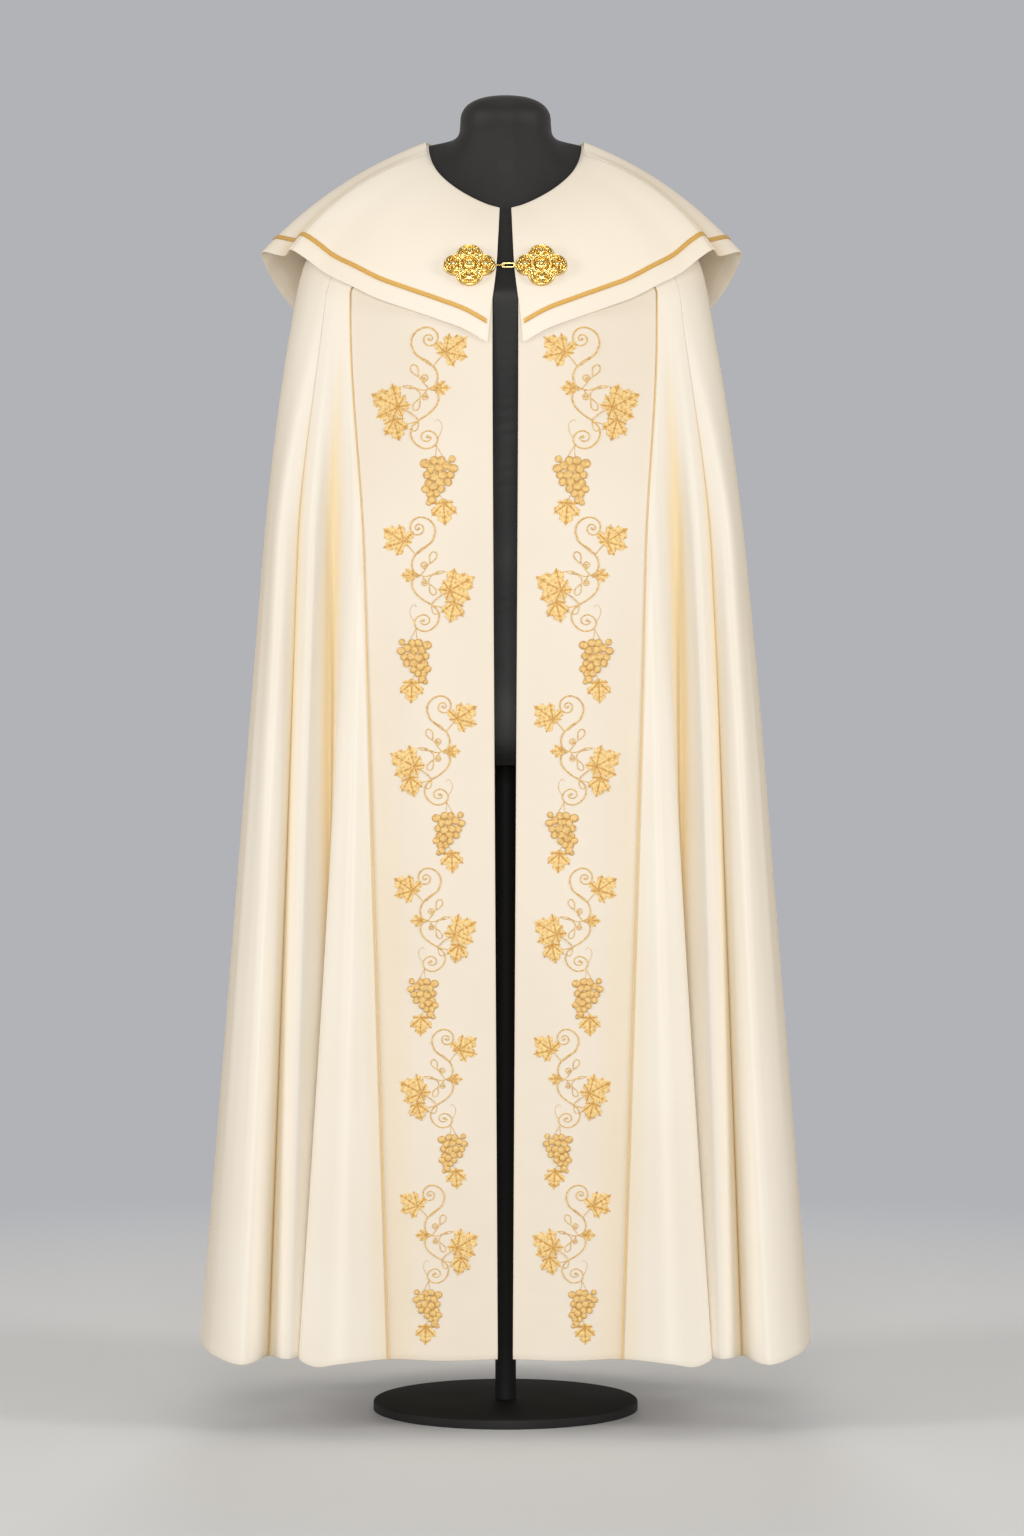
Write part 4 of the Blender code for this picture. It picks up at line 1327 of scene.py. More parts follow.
@dataclass
class Piping:
    """The twisted gold cord in each orphrey's outer seam, from under the cape to the hem."""

    wardrobe: Wardrobe
    mantle: Mantle
    radius: float = 0.85
    set_off: float = 0.1
    groove: float = 0.2
    sides: int = 10
    ply_pitch: float = 4.2
    steps: int = 9
    top_z: float = 1412.0

    def build(self) -> None:
        """Makes the two cords."""
        sheet = self.mantle.sheet
        for side in ("left", "right"):
            column = sheet.column[side + "_piping"]
            rows = np.flatnonzero(sheet.points[:, column, 2] < self.top_z)
            lift = self.mantle.weight.wall / 2.0 + self.radius + self.set_off
            route = sheet.points[rows, column] + sheet.normals[rows, column] * lift
            path = catmull_rom(route, [self.steps] * (len(route) - 1))
            cord = tube(path, self.radius, self.sides, hint=(0.0, 1.0, 0.0))
            wound = TURN / 2.0 * travelled(path)[:, None] / self.ply_pitch
            ply = np.abs(np.cos(directions(self.sides) - wound)).reshape(-1, 1)
            body = cord.points[:len(ply)]
            middle = np.repeat(path, self.sides, axis=0)
            cord.points[:len(ply)] = middle + (body - middle) * (1.0 - self.groove * (1.0 - ply))
            cord.tone = np.concatenate([0.45 + 0.55 * ply[:, 0], [0.5, 0.5]])
            name = "piping_" + side
            add_piece(name + "_cord", cord, [self.wardrobe["piping"]], [name], "thread")


# --- Embroidery ---
# How far off the cloth the lowest stitches lie.
GROUND_GAP = 0.06


class HeightField:
    """How far the outer face of a panel lies along y over its x and z, for one side's orphrey."""

    STEP = 3.0
    TOP_Z = 1440.0

    def __init__(self, sheet: Sheet, start: str, end: str, lift: float) -> None:
        """Samples the panel.

        Args:
            sheet: The sheet that the panel is cut from.
            start: Its first line.
            end: Its last line.
            lift: From the sheet to the panel's outer face.
        """
        columns = slice(sheet.column[start], sheet.column[end] + 1)
        face = sheet.points[:, columns] + sheet.normals[:, columns] * lift
        self.low_x, self.low_z = face[..., 0].min(), face[-1, :, 2].max()
        xs = np.arange(self.low_x, face[..., 0].max(), self.STEP)
        rows = []
        for z in np.arange(self.low_z, self.TOP_Z, self.STEP):
            line = np.array([sampled(z, edge[::-1, 2], edge[::-1]) for edge in face.swapaxes(0, 1)])
            line = line[np.argsort(line[:, 0])]
            rows.append(np.interp(xs, line[:, 0], line[:, 1]))
        depth = np.array(rows)
        slope_z, slope_x = np.gradient(depth, self.STEP)
        self.table = np.stack([depth, slope_x, slope_z], -1)

    def place(self, x: Array, z: Array, height: Array) -> Array:
        """Points at a height above the face, along its normal."""
        rows, columns = self.table.shape[:2]
        across = np.clip((x - self.low_x) / self.STEP, 0.0, columns - 1.001)
        upward = np.clip((z - self.low_z) / self.STEP, 0.0, rows - 1.001)
        column, row = across.astype(int), upward.astype(int)
        part_x, part_z = (across - column)[:, None], (upward - row)[:, None]
        lower, upper = (
            self.table[line, column] * (1.0 - part_x) + self.table[line, column + 1] * part_x
            for line in (row, row + 1)
        )
        depth, slope_x, slope_z = (lower * (1.0 - part_z) + upper * part_z).T
        normal = unit(np.stack([slope_x, -np.ones(len(x)), slope_z], -1))
        return np.stack([x, depth, z], -1) + normal * height[:, None]


@dataclass(frozen=True)
class Leaf:
    """A lobed vine leaf: its stalk's place, and each lobe's direction, length and half breadth in degrees."""

    x: float
    z: float
    lobes: tuple[tuple[float, float, float], ...]
    level: float = 0.0
    shade: float = 1.0
    rings: int = 9
    spokes: int = 180
    fullness: float = 1.08
    heart: float = 0.2
    dark_edge: float = 1.6
    ground: float = 0.08
    thickness: float = 0.34
    between_ribs: float = 0.2
    rib_reach: float = 4.0

    PROFILE = (
        (0.0, 0.12, 0.36, 0.46, 0.68, 0.78, 0.98, 1.12, 1.3),
        (1.0, 0.92, 0.80, 0.86, 0.76, 0.83, 0.70, 0.44, 0.30),
    )

    def patch(self) -> MeshData:
        """The leaf's relief; uv follows the nearest rib and its distance."""
        turns = directions(self.spokes)
        angles, sizes, breadths = (np.array(column) for column in zip(*self.lobes))
        breadths = breadths * self.fullness
        off = np.abs((turns[:, None] - np.radians(angles) + math.pi) % TURN - math.pi)
        reach = np.interp(np.degrees(off) / breadths, *self.PROFILE) * sizes
        within = np.degrees(off) < breadths * self.PROFILE[0][-1]
        radius = np.where(within, reach, self.heart * sizes.max()).max(axis=1)
        parts = np.linspace(0.0, 1.0, self.rings + 1)[1:] ** 0.9
        r = parts[:, None] * radius
        away = np.where(off > math.pi / 2.0, 1e3, r[:, :, None] * np.sin(off))
        rib = away.argmin(axis=2)[:, :, None]
        distance = np.minimum(np.take_along_axis(away, rib, 2)[:, :, 0], 12.0)
        along = np.take_along_axis(r[:, :, None] * np.cos(off), rib, 2)[:, :, 0]
        dome = np.sqrt(np.maximum(0.0, 1.0 - parts ** 4))[:, None]
        swell = self.thickness + self.between_ribs * np.minimum(distance / self.rib_reach, 1.0)
        height = self.ground + self.level + dome * swell
        points = np.stack([r * np.cos(turns), r * np.sin(turns), height], -1).reshape(-1, 3)
        points = np.concatenate([points, [[0.0, 0.0, 0.3 + self.level]]]) + (self.x, self.z, 0.0)
        uv = np.concatenate([uv_grid(along - distance * 0.8, distance), [[0.0, 0.0]]])
        tone = np.clip((radius - r) / self.dark_edge, 0.0, 1.0).reshape(-1) * self.shade
        return MeshData(points, spoked(self.rings, self.spokes), uv, np.append(tone, 0.4))


@dataclass(frozen=True)
class Stem:
    """A satin-stitched line through given points, tapering to its end."""

    points: tuple[tuple[float, float], ...]
    width: float = 1.9
    end_width: float = 1.2
    closed: bool = False
    level: float = 0.0
    shade: float = 1.0
    spacing: float = 1.3
    fullness: float = 0.75

    ACROSS = (-1.0, -0.8, -0.35, 0.0, 0.35, 0.8, 1.0)

    def patch(self) -> MeshData:
        """The line's relief; uv runs along it and across it."""
        controls = self.points + (self.points[0],) if self.closed else self.points
        path = smooth_path(controls, self.spacing)
        ahead = np.gradient(path, axis=0)
        if self.closed:
            ahead[0] = ahead[-1] = path[1] - path[-2]
        ahead = unit(ahead)
        side = np.stack([ahead[:, 1], -ahead[:, 0]], -1)
        t = np.array(self.ACROSS)
        part = np.linspace(0.0, 1.0, len(path))
        half = (self.width + (self.end_width - self.width) * part ** 2) / 2.0
        flat = path[:, None] + side[:, None] * (t * half[:, None])[:, :, None]
        height = GROUND_GAP + self.level + np.sqrt(1.0 - t ** 2) * half[:, None] * self.fullness
        points = np.concatenate([flat, height[:, :, None]], axis=2).reshape(-1, 3)
        uv = uv_grid(travelled(path)[:, None], t * half[:, None])
        tone = np.tile(np.where(np.abs(t) > 0.9, 0.15, 0.8) * self.shade, len(path))
        return MeshData(points, grid_faces(len(path), len(t)).tolist(), uv, tone)


@dataclass(frozen=True)
class Bead:
    """A round or oval padded spot, such as a grape or a bud."""

    x: float
    z: float
    length: float = 4.8
    width: float = 4.8
    axis: float = 90.0
    height: float = 1.1
    level: float = 0.1
    shade: float = 1.0
    spokes: int = 14
    rings: int = 4

    # From the middle outwards: the part of the radius and the tone there; the bright middle is a painted
    # highlight.
    TONES = ((0.0, 0.6, 0.8, 1.0), (1.1, 0.95, 0.5, 0.0))

    def patch(self) -> MeshData:
        """The spot's relief; its threads lie across its axis."""
        turns = directions(self.spokes)
        parts = np.sin(np.linspace(0.0, math.pi / 2.0, self.rings + 1))[1:]
        u = parts[:, None] * np.cos(turns) * self.length
        v = parts[:, None] * np.sin(turns) * self.width
        x, z = turned(u, v, math.radians(self.axis))
        ground = GROUND_GAP + self.level
        rise = np.sqrt(np.maximum(0.0, 1.0 - parts ** 2)) * self.height
        height = np.repeat(ground + rise, self.spokes).reshape(u.shape)
        points = np.stack([x, z, height], -1).reshape(-1, 3)
        points = np.concatenate([points, [[0.0, 0.0, ground + self.height]]]) + (self.x, self.z, 0.0)
        uv = np.concatenate([uv_grid(u, v), [[0.0, 0.0]]])
        tone = np.append(np.repeat(np.interp(parts, *self.TONES), self.spokes), 1.0) * self.shade
        return MeshData(points, spoked(self.rings, self.spokes), uv, tone)


def curl(x: float, z: float, keys: Places, step: float = 24.0) -> tuple:
    """Points of a curl from pairs of a falling angle in degrees and a radius round its middle."""
    angles, radii = (np.array(column) for column in zip(*keys))
    turns = np.linspace(angles[0], angles[-1], round((angles[0] - angles[-1]) / step) + 1)
    placed = (turned(r, 0.0, math.radians(a)) for a, r in zip(turns, np.interp(-turns, -angles, radii)))
    return tuple((x + across, z + up) for across, up in placed)


def loop(x: float, z: float, length: float, width: float, axis: float) -> tuple:
    """Points of a drop-shaped loop; axis is the direction in degrees from its point to its round end."""
    upper = ((-0.2, 0.28), (0.15, 0.48), (0.42, 0.3))
    lower = tuple((u, -v) for u, v in reversed(upper))
    outline = ((-0.5, 0.0), *upper, (0.5, 0.0), *lower)
    placed = (turned(u * length, v * width, math.radians(axis)) for u, v in outline)
    return tuple((x + across, z + up) for across, up in placed)


@dataclass(frozen=True)
class VineMotif:
    """One spray of vine: a curled stem with leaves, tendrils and a bunch of grapes. Sizes at scale 1."""

    LEAVES = (
        Leaf(19.1, 43.8, ((79.0, 25.0, 19.0), (36.0, 33.0, 24.0), (-13.0, 29.0, 18.0), (-60.0, 21.0, 23.0),
                          (137.0, 19.0, 24.0), (184.0, 12.0, 18.0))),
        Leaf(-38.0, -22.5, ((153.0, 38.5, 25.0), (105.0, 31.5, 22.0), (61.0, 18.0, 17.0), (10.0, 16.0, 24.0),
                            (205.0, 31.0, 21.0), (243.0, 22.0, 15.0), (292.0, 14.0, 22.0)), 0.12),
        Leaf(-43.5, -38.0, ((285.0, 28.0, 23.0), (241.0, 23.0, 18.0), (325.0, 22.5, 19.0),
                            (205.0, 13.5, 18.0), (5.0, 13.0, 19.0), (90.0, 7.0, 50.0)), 0.5, 1.1),
        Leaf(8.8, 0.0, ((0.0, 17.0, 18.0), (42.0, 13.5, 20.0), (-42.0, 13.5, 20.0), (88.0, 8.0, 24.0),
                        (-88.0, 8.0, 24.0), (180.0, 3.0, 50.0)), 0.1, 0.66, 5, 108),
        Leaf(16.2, -140.0, ((-85.0, 28.0, 24.0), (-38.0, 21.5, 21.0), (-132.0, 22.0, 21.0), (6.0, 13.0, 20.0),
                            (184.0, 12.0, 21.0), (90.0, 5.0, 60.0)), 0.1, 1.12, 7, 132),
    )
    STEMS = (
        Stem(((-22.4, 53.0), (-17.0, 42.0), (-3.0, 33.0), (6.7, 22.9), (9.5, 13.3), (6.7, 3.8),
              (0.0, -0.6)), 2.2, 1.9),
        Stem(((-20.5, 44.6), (-11.0, 36.2), (0.4, 27.6)), 1.2, 0.9),
        Stem(((0.0, -0.6), (8.0, -4.0), (10.5, -13.3), (6.7, -22.9), (-2.9, -32.4), (-14.3, -40.0),
              (-21.6, -47.7), (-22.9, -57.2), (-18.1, -66.7), (-6.7, -73.6), (4.8, -71.0), (9.5, -62.9),
              (5.7, -55.3), (-2.9, -52.2), (-9.5, -56.2), (-9.5, -62.4), (-2.9, -65.0), (1.9, -61.0),
              (-2.2, -59.1)), 2.1, 1.5),
        Stem(((19.1, 43.8), (11.0, 35.5), (3.8, 25.7)), 1.5, 1.2),
        Stem(((-36.5, -23.8), (-25.7, -28.6), (-16.2, -36.2), (-13.3, -40.0)), 1.7, 1.3, level=0.5),
        Stem(((-30.0, -44.6), (-21.9, -42.3), (-13.8, -40.0)), 1.4, 1.2),
        Stem(((0.0, -0.6), (-8.6, -2.4), (-17.0, 0.2), (-26.0, 3.6), (-34.0, 2.9)), 1.4, 1.1),
        Stem(((-34.0, 2.9), (-26.0, 0.2), (-18.0, -0.8)), 1.2, 1.1),
        Stem(((-17.0, -0.6), (-11.6, -6.4), (-12.0, -13.0)), 1.4, 1.2),
        Stem(((-1.9, 0.4), (-7.0, 6.0), (-12.6, 13.4)), 1.4, 1.2),
        Stem(((-3.0, -1.4), (-4.6, -3.2), (-5.0, -5.0)), 1.4, 1.2),
        Stem(loop(-17.7, 21.4, 16.6, 9.5, 116.0), 1.5, 1.5, True),
        Stem(loop(-6.6, 11.6, 9.6, 8.4, 80.0), 1.5, 1.5, True),
        Stem(loop(-5.7, -9.6, 9.0, 7.6, 268.0), 1.5, 1.5, True),
        Stem(loop(-15.4, -19.6, 16.0, 8.4, 247.0), 1.5, 1.5, True),
        Stem(loop(-16.8, -46.4, 13.3, 6.7, 240.0), 1.3, 1.3, True),
        Stem(((9.4, -62.0), (14.3, -51.5), (14.3, -43.8), (8.6, -38.6), (6.0, -41.6)), 0.7, 0.6, shade=0.75),
        Stem(((7.6, -69.6), (12.4, -78.0), (16.2, -83.9)), 1.0, 0.9),
        Stem(((7.6, -70.6), (7.6, -77.0), (6.7, -84.5)), 0.9, 0.8),
        Stem(((13.3, -131.5), (15.0, -136.0), (16.2, -140.0)), 1.1, 1.0),
    )
    CURL = ((199.0, 23.5), (180.0, 21.9), (135.0, 17.2), (90.0, 14.0), (45.0, 11.6), (0.0, 10.0),
            (-90.0, 8.2), (-180.0, 7.0), (-270.0, 5.2), (-360.0, 3.6), (-430.0, 2.2), (-500.0, 0.6))
    BUDS = (
        Bead(-7.4, 11.8, 2.4, 2.0, 60.0, 0.8), Bead(-5.7, -10.4, 2.2, 1.9, -20.0, 0.8),
        Bead(-23.0, 1.8, 1.9, 1.6), Bead(3.4, -1.6, 2.2, 1.7, 60.0), Bead(-1.4, 60.4, 1.6, 1.6),
        Bead(-2.2, -59.4, 2.0, 2.0),
    )
    # Each grape's place and its half length; they stand on three levels.
    GRAPES = (
        (-5.8, -92.0, 6.2), (5.0, -88.4, 5.6), (13.6, -88.8, 5.8), (27.0, -86.6, 4.6),
        (20.6, -94.6, 6.0), (28.4, -98.0, 5.6), (11.0, -97.4, 6.0), (1.4, -98.6, 5.8),
        (-3.4, -106.0, 5.0), (25.0, -106.0, 5.2), (15.6, -105.8, 6.2), (5.8, -108.4, 6.0),
        (-1.6, -115.6, 5.0), (22.0, -114.6, 5.2), (12.6, -114.8, 5.8), (-5.0, -123.0, 5.2),
        (4.2, -119.6, 5.8), (13.8, -123.0, 5.0), (0.2, -128.6, 5.2), (8.2, -128.4, 4.8),
        (2.6, -136.0, 5.6), (-1.0, -139.6, 3.8),
    )

    def patches(self) -> list[MeshData]:
        """Every part of the spray."""
        made = [leaf.patch() for leaf in self.LEAVES]
        made += [stem.patch() for stem in self.STEMS]
        made.append(Stem(curl(-0.6, 60.5, self.CURL), 2.2, 1.3).patch())
        made += [bud.patch() for bud in self.BUDS]
        for index, (x, z, size) in enumerate(self.GRAPES):
            level, shade = 0.1 + 0.22 * (index % 3), 0.95 + 0.1 * (index % 2)
            made.append(Bead(x, z, size, size * 0.94, 35.0 * index, level=level, shade=shade).patch())
        return made


@dataclass(frozen=True)
class Placing:
    """Where one spray lies: the crossing of its stems on the left orphrey, its scale and its tilt."""

    x: float
    z: float
    scale: float
    tilt: float
    mirrored: bool


@dataclass
class Embroidery:
    """The vine on both orphreys; the right one mirrors the left."""

    wardrobe: Wardrobe
    mantle: Mantle
    motif: VineMotif = VineMotif()

    SPRAYS = (
        Placing(-91.1, 1258.3, 1.0, 0.1, False),
        Placing(-102.9, 1032.1, 0.923, 2.5, True),
        Placing(-75.4, 820.5, 0.879, -1.6, False),
        Placing(-93.7, 617.3, 0.831, 3.0, True),
        Placing(-70.7, 427.2, 0.791, -0.8, False),
        Placing(-88.5, 240.9, 0.786, 3.1, True),
    )

    def build(self) -> None:
        """Makes one piece on each orphrey."""
        sheet, lift = self.mantle.sheet, self.mantle.weight.wall / 2.0
        parts = MeshData.joined(self.motif.patches())
        leaf_faces = sum(leaf.spokes * leaf.rings for leaf in self.motif.LEAVES)
        finish = (np.arange(len(parts.faces)) >= leaf_faces).astype(np.int32)
        finishes = [self.wardrobe["leaf"], self.wardrobe["embroidery"]]
        for side, ends in (("left", ("front_edge", "piping")), ("right", ("piping", "front_edge"))):
            surface = HeightField(sheet, *(side + "_" + end for end in ends), lift)
            sewn = [self._sewn(parts, spray, surface, side == "right") for spray in self.SPRAYS]
            data = MeshData.joined(sewn)
            data.face_finish = np.tile(finish, len(self.SPRAYS))
            add_piece("embroidery_" + side, data, finishes, uv_layer="thread")

    @staticmethod
    def _sewn(parts: MeshData, spray: Placing, surface: HeightField, on_right: bool) -> MeshData:
        """One spray on the face of an orphrey.

        Args:
            parts: The spray at scale 1.
            spray: Where it lies on the left orphrey.
            surface: The orphrey's face.
            on_right: True on the right orphrey, where the spray lies mirrored.

        Returns:
            The spray's mesh.
        """
        across, upward, height = parts.points.T
        across = -across if spray.mirrored else across
        x, z = turned(across * spray.scale, upward * spray.scale, math.radians(spray.tilt))
        x = -(x + spray.x) if on_right else x + spray.x
        turned_over = spray.mirrored != on_right
        faces = [tuple(reversed(face)) for face in parts.faces] if turned_over else parts.faces
        return MeshData(surface.place(x, z + spray.z, height), faces, parts.uv * spray.scale, parts.tone)


# --- Clasp ---
class Relief:
    """Chased work on a plate's ground, at points in its plane: shapes of which the highest wins."""

    def __init__(self, x: Array, y: Array) -> None:
        """Starts with the bare ground."""
        self.x, self.y = x, y
        self.raised = np.zeros(x.shape)

    def raise_to(self, height: Array) -> None:
        """Adds a shape of that height over the ground."""
        self.raised = np.maximum(self.raised, height)

    def ridge(self, away: Array, half: float, height: Array | float) -> None:
        """A half-round ridge of some half width, at distances from its middle line."""
        self.raise_to(height * np.sqrt(np.maximum(0.0, 1.0 - (away / half) ** 2)))

    def dome(
        self, x: float, y: float, radius: float, height: float, squash: float = 1.0, axis: float = 0.0,
    ) -> None:
        """A round boss, or with squash a drop whose length lies along an axis in degrees."""
        u, v = turned(self.x - x, self.y - y, -math.radians(axis))
        self.ridge(np.hypot(u, v / squash), radius, height)

    def wire(self, points: Places, width: float, height: float) -> None:
        """A half-round wire along a smooth line, tapering towards its end."""
        path = smooth_path(points, 0.8)
        nearest = np.full(self.x.shape, np.inf)
        for index, (place, following) in enumerate(zip(path, path[1:])):
            step = following - place
            x, y = self.x - place[0], self.y - place[1]
            part = np.clip((x * step[0] + y * step[1]) / float(step @ step), 0.0, 1.0)
            half = width / 2.0 * (1.0 - 0.35 * index / len(path))
            nearest = np.minimum(nearest, np.hypot(x - step[0] * part, y - step[1] * part) / half)
        self.ridge(nearest, 1.0, height)

    def ring(self, radius: float, width: float, height: float, beads: int) -> None:
        """A half-round ring about the middle, cut into beads or rope turns."""
        away = (np.hypot(self.x, self.y) - radius) / (width / 2.0)
        turn = np.arctan2(self.y, self.x)
        cut = 0.62 + 0.38 * np.abs(np.cos(turn * beads / 2.0 + away * 0.5))
        self.ridge(away, 1.0, height * cut)


@dataclass(frozen=True)
class Clasp:
    """The fastened clasp: two lobed plates chased with scrolls round a rosette, a link and a hook."""

    wardrobe: Wardrobe
    rings: int = 96
    spokes: int = 300
    wall: float = 1.2
    cushion: float = 2.3
    puff: float = 1.3
    rim: float = 1.1
    border_beads: int = 88
    wire_radius: float = 0.9
    wire_y: float = -151.1
    wire_z: float = 1409.7
    link_ends: tuple[float, float] = (-2.1, 8.6)
    link_half_height: float = 2.3
    hook_x: float = -4.0
    hook_radius: float = 2.6
    wire_sides: int = 16

    LOBES = ((18.0, 0.0, 13.5), (-18.0, 0.0, 13.5), (0.0, 10.5, 17.0), (0.0, -10.5, 17.0))
    # How far the work of each quarter is stretched along its lobe and across it.
    STRETCH = ((1.0, 1.0), (0.86, 1.2), (1.0, 1.0), (0.86, 1.2))
    SCROLL = (
        (10.0, 2.0), (12.0, 6.2), (16.6, 9.2), (21.4, 7.8), (23.6, 4.0), (21.6, 1.6), (18.8, 2.8),
        (19.2, 5.2),
    )
    TENDRIL = ((8.0, 8.4), (10.6, 10.6), (9.0, 13.6), (6.6, 12.4), (8.0, 10.8))
    GRANULES = (
        (12.6, 0.0), (14.6, 4.4), (27.0, 2.8), (25.6, 6.6), (11.2, 8.6), (17.0, 6.0), (9.4, 6.6), (28.6, 0.0),
    )
    # Three petals between two lobes: degrees off the corner, reach from the middle and radius.
    CORNER_PETALS = ((-17.0, 15.2, 3.2), (0.0, 16.6, 4.4), (17.0, 15.2, 3.2))
    # The hook's shank from the plate to its bend: x, and y off the wire's plane.
    SHANK = ((-11.5, 0.0), (-9.4, -0.2), (-7.4, -0.4))
    def _outline(self, turns: Array) -> Array:
        """The plate's radius in each direction."""
        furthest = np.zeros(len(turns))
        for x, y, radius in self.LOBES:
            along = x * np.cos(turns) + y * np.sin(turns)
            inside = radius ** 2 - (x * x + y * y - along ** 2)
            reach = np.where(inside >= 0.0, along + np.sqrt(np.maximum(inside, 0.0)), 0.0)
            furthest = np.maximum(furthest, reach)
        return furthest

    def _chased(self, x: Array, y: Array, outline: Array) -> tuple[Array, Array]:
        """The height and tone of a plate's face.

        Args:
            x: Across the plate.
            y: Up it.
            outline: The plate's radius in the direction of each point.

        Returns:
            The heights above the plate's back and the tones.
        """
        left = outline - np.hypot(x, y)
        ground = self.wall + self.cushion * np.sqrt(np.clip(1.0 - (1.0 - left / outline) ** 2, 0.0, 1.0))
        for lobe_x, lobe_y, radius in self.LOBES:
            puff = 1.0 - ((x - lobe_x * 1.05) ** 2 + (y - lobe_y * 1.15) ** 2) / (radius * 0.78) ** 2
            ground += self.puff * np.maximum(puff, 0.0) ** 1.2
        relief = Relief(x, y)
        relief.ridge(left - self.rim, self.rim, 1.7)
        beaded = 0.5 + 0.5 * np.abs(np.cos(np.arctan2(y, x) * self.border_beads / 2.0))
        relief.ridge(left - 3.4, 0.8, 0.95 * beaded)
        for quarter, stretch in enumerate(self.STRETCH):
            self._chase_quarter(relief, quarter * 90.0, *stretch)
        self._chase_rosette(relief)
        # The tone is low in the chased depths, where the gilt paints shade.
        return ground + relief.raised, np.clip(relief.raised / 1.3, 0.0, 1.0)

    def _chase_quarter(self, relief: Relief, direction: float, long: float, wide: float) -> None:
        """The mirrored scrolls of a lobe with its pointed boss, and the petals in the corner after it."""
        angle = math.radians(direction)
        for way in (-wide, wide):
            scroll, tendril, granules = (
                [turned(u * long, v * way, angle) for u, v in points]
                for points in (self.SCROLL, self.TENDRIL, self.GRANULES)
            )
            relief.wire(scroll, 2.6, 2.0)
            relief.wire(tendril, 2.0, 1.5)
            for granule in granules:
                relief.dome(*granule, 1.1, 1.1)
        relief.dome(*turned(20.4 * long, 0.0, angle), 6.2, 3.2, 0.5, direction)
        for off, reach, radius in self.CORNER_PETALS:
            axis = direction + 45.0 + off
            relief.dome(*turned(reach, 0.0, math.radians(axis)), radius, 2.4, 0.42, axis)

    @staticmethod
    def _chase_rosette(relief: Relief) -> None:
        """The rope ring, the beaded ring and the flower in the middle of a plate."""
        relief.ring(11.4, 2.6, 2.3, 30)
        relief.ring(8.8, 1.2, 0.8, 40)
        relief.dome(0.0, 0.0, 7.2, 3.9)
        for axis in range(0, 360, 60):
            relief.dome(*turned(4.3, 0.0, math.radians(axis)), 2.7, 4.3, 0.8, axis + 60.0)
        relief.dome(0.0, 0.0, 2.5, 5.2)

    @staticmethod
    def _seat(node: str) -> tuple[Array, Array]:
        """The middle of a plate's back, and its directions across, upward and outward, from its CAD solid."""
        corners = np.array([point.co for point in frame["nodes"][node].data.vertices]) / MM
        middle = corners.mean(axis=0)
        outer = unit(np.linalg.svd(corners - middle)[2][2])
        outer = -outer if outer[1] > 0.0 else outer
        across = unit(np.cross((0.0, 0.0, 1.0), outer))
        axes = np.stack([across, np.cross(outer, across), outer])
        low, high = (((corners - middle) @ axes.T).min(axis=0), ((corners - middle) @ axes.T).max(axis=0))
        return middle + np.append((low + high)[:2] / 2.0, low[2]) @ axes, axes

    def _plate(self, node: str) -> MeshData:
        """One plate, on the seat of its part."""
        turns = directions(self.spokes)
        outline = self._outline(turns)
        reach = np.linspace(0.0, 1.0, self.rings + 1)[1:, None] * outline
        x, y = reach * np.cos(turns), reach * np.sin(turns)
        height, tone = self._chased(x, y, np.broadcast_to(outline, reach.shape))
        height[-1] = self.wall * 0.6
        back = np.stack([x[-1], y[-1], np.zeros(self.spokes)], -1)
        middles = [[0.0, 0.0, height[0].max()], [0.0, 0.0, 0.0]]
        points = np.concatenate([np.stack([x, y, height], -1).reshape(-1, 3), back, middles])
        tone = np.concatenate([tone.reshape(-1), np.full(self.spokes, 0.4), [1.0, 0.2]])
        place, axes = self._seat(node)
        return MeshData(place + points @ axes, closed_rings(self.rings + 1, self.spokes, True), None, tone)

    @staticmethod
    def _bend(x: float, other: float, radius: float, first: float, sweep: float) -> Array:
        """Points round an arc in plan or in front view, as x and the other coordinate."""
        turns = np.radians(first + sweep * np.linspace(0.0, 1.0, 25))
        return np.stack([x + radius * np.cos(turns), other + radius * np.sin(turns)], -1)

    def build(self) -> None:
        """Makes the plates, the link and the hook."""
        gilt = [self.wardrobe["gilt"]]
        for side in ("left", "right"):
            node = "morse_plate_" + side
            add_piece("clasp_plate_" + side, self._plate(node), gilt, [node])
        bends = zip(self.link_ends, (90.0, -90.0))
        flat = np.concatenate([
            self._bend(x, self.wire_z, self.link_half_height, first, 180.0) for x, first in bends
        ])
        route = np.insert(flat, 1, self.wire_y, axis=1)
        link = tube(route, self.wire_radius, self.wire_sides, True, hint=(0.0, 1.0, 0.0))
        add_piece("clasp_link", link, gilt, ["morse_link"])
        bend = self._bend(self.hook_x, self.wire_y, self.hook_radius, -150.0, 240.0)
        flat = np.concatenate([np.array(self.SHANK) + (0.0, self.wire_y), bend])
        hook = tube(np.insert(flat, 2, self.wire_z, axis=1), self.wire_radius, self.wire_sides)
        add_piece("clasp_hook", hook, gilt, ["morse_hook"])


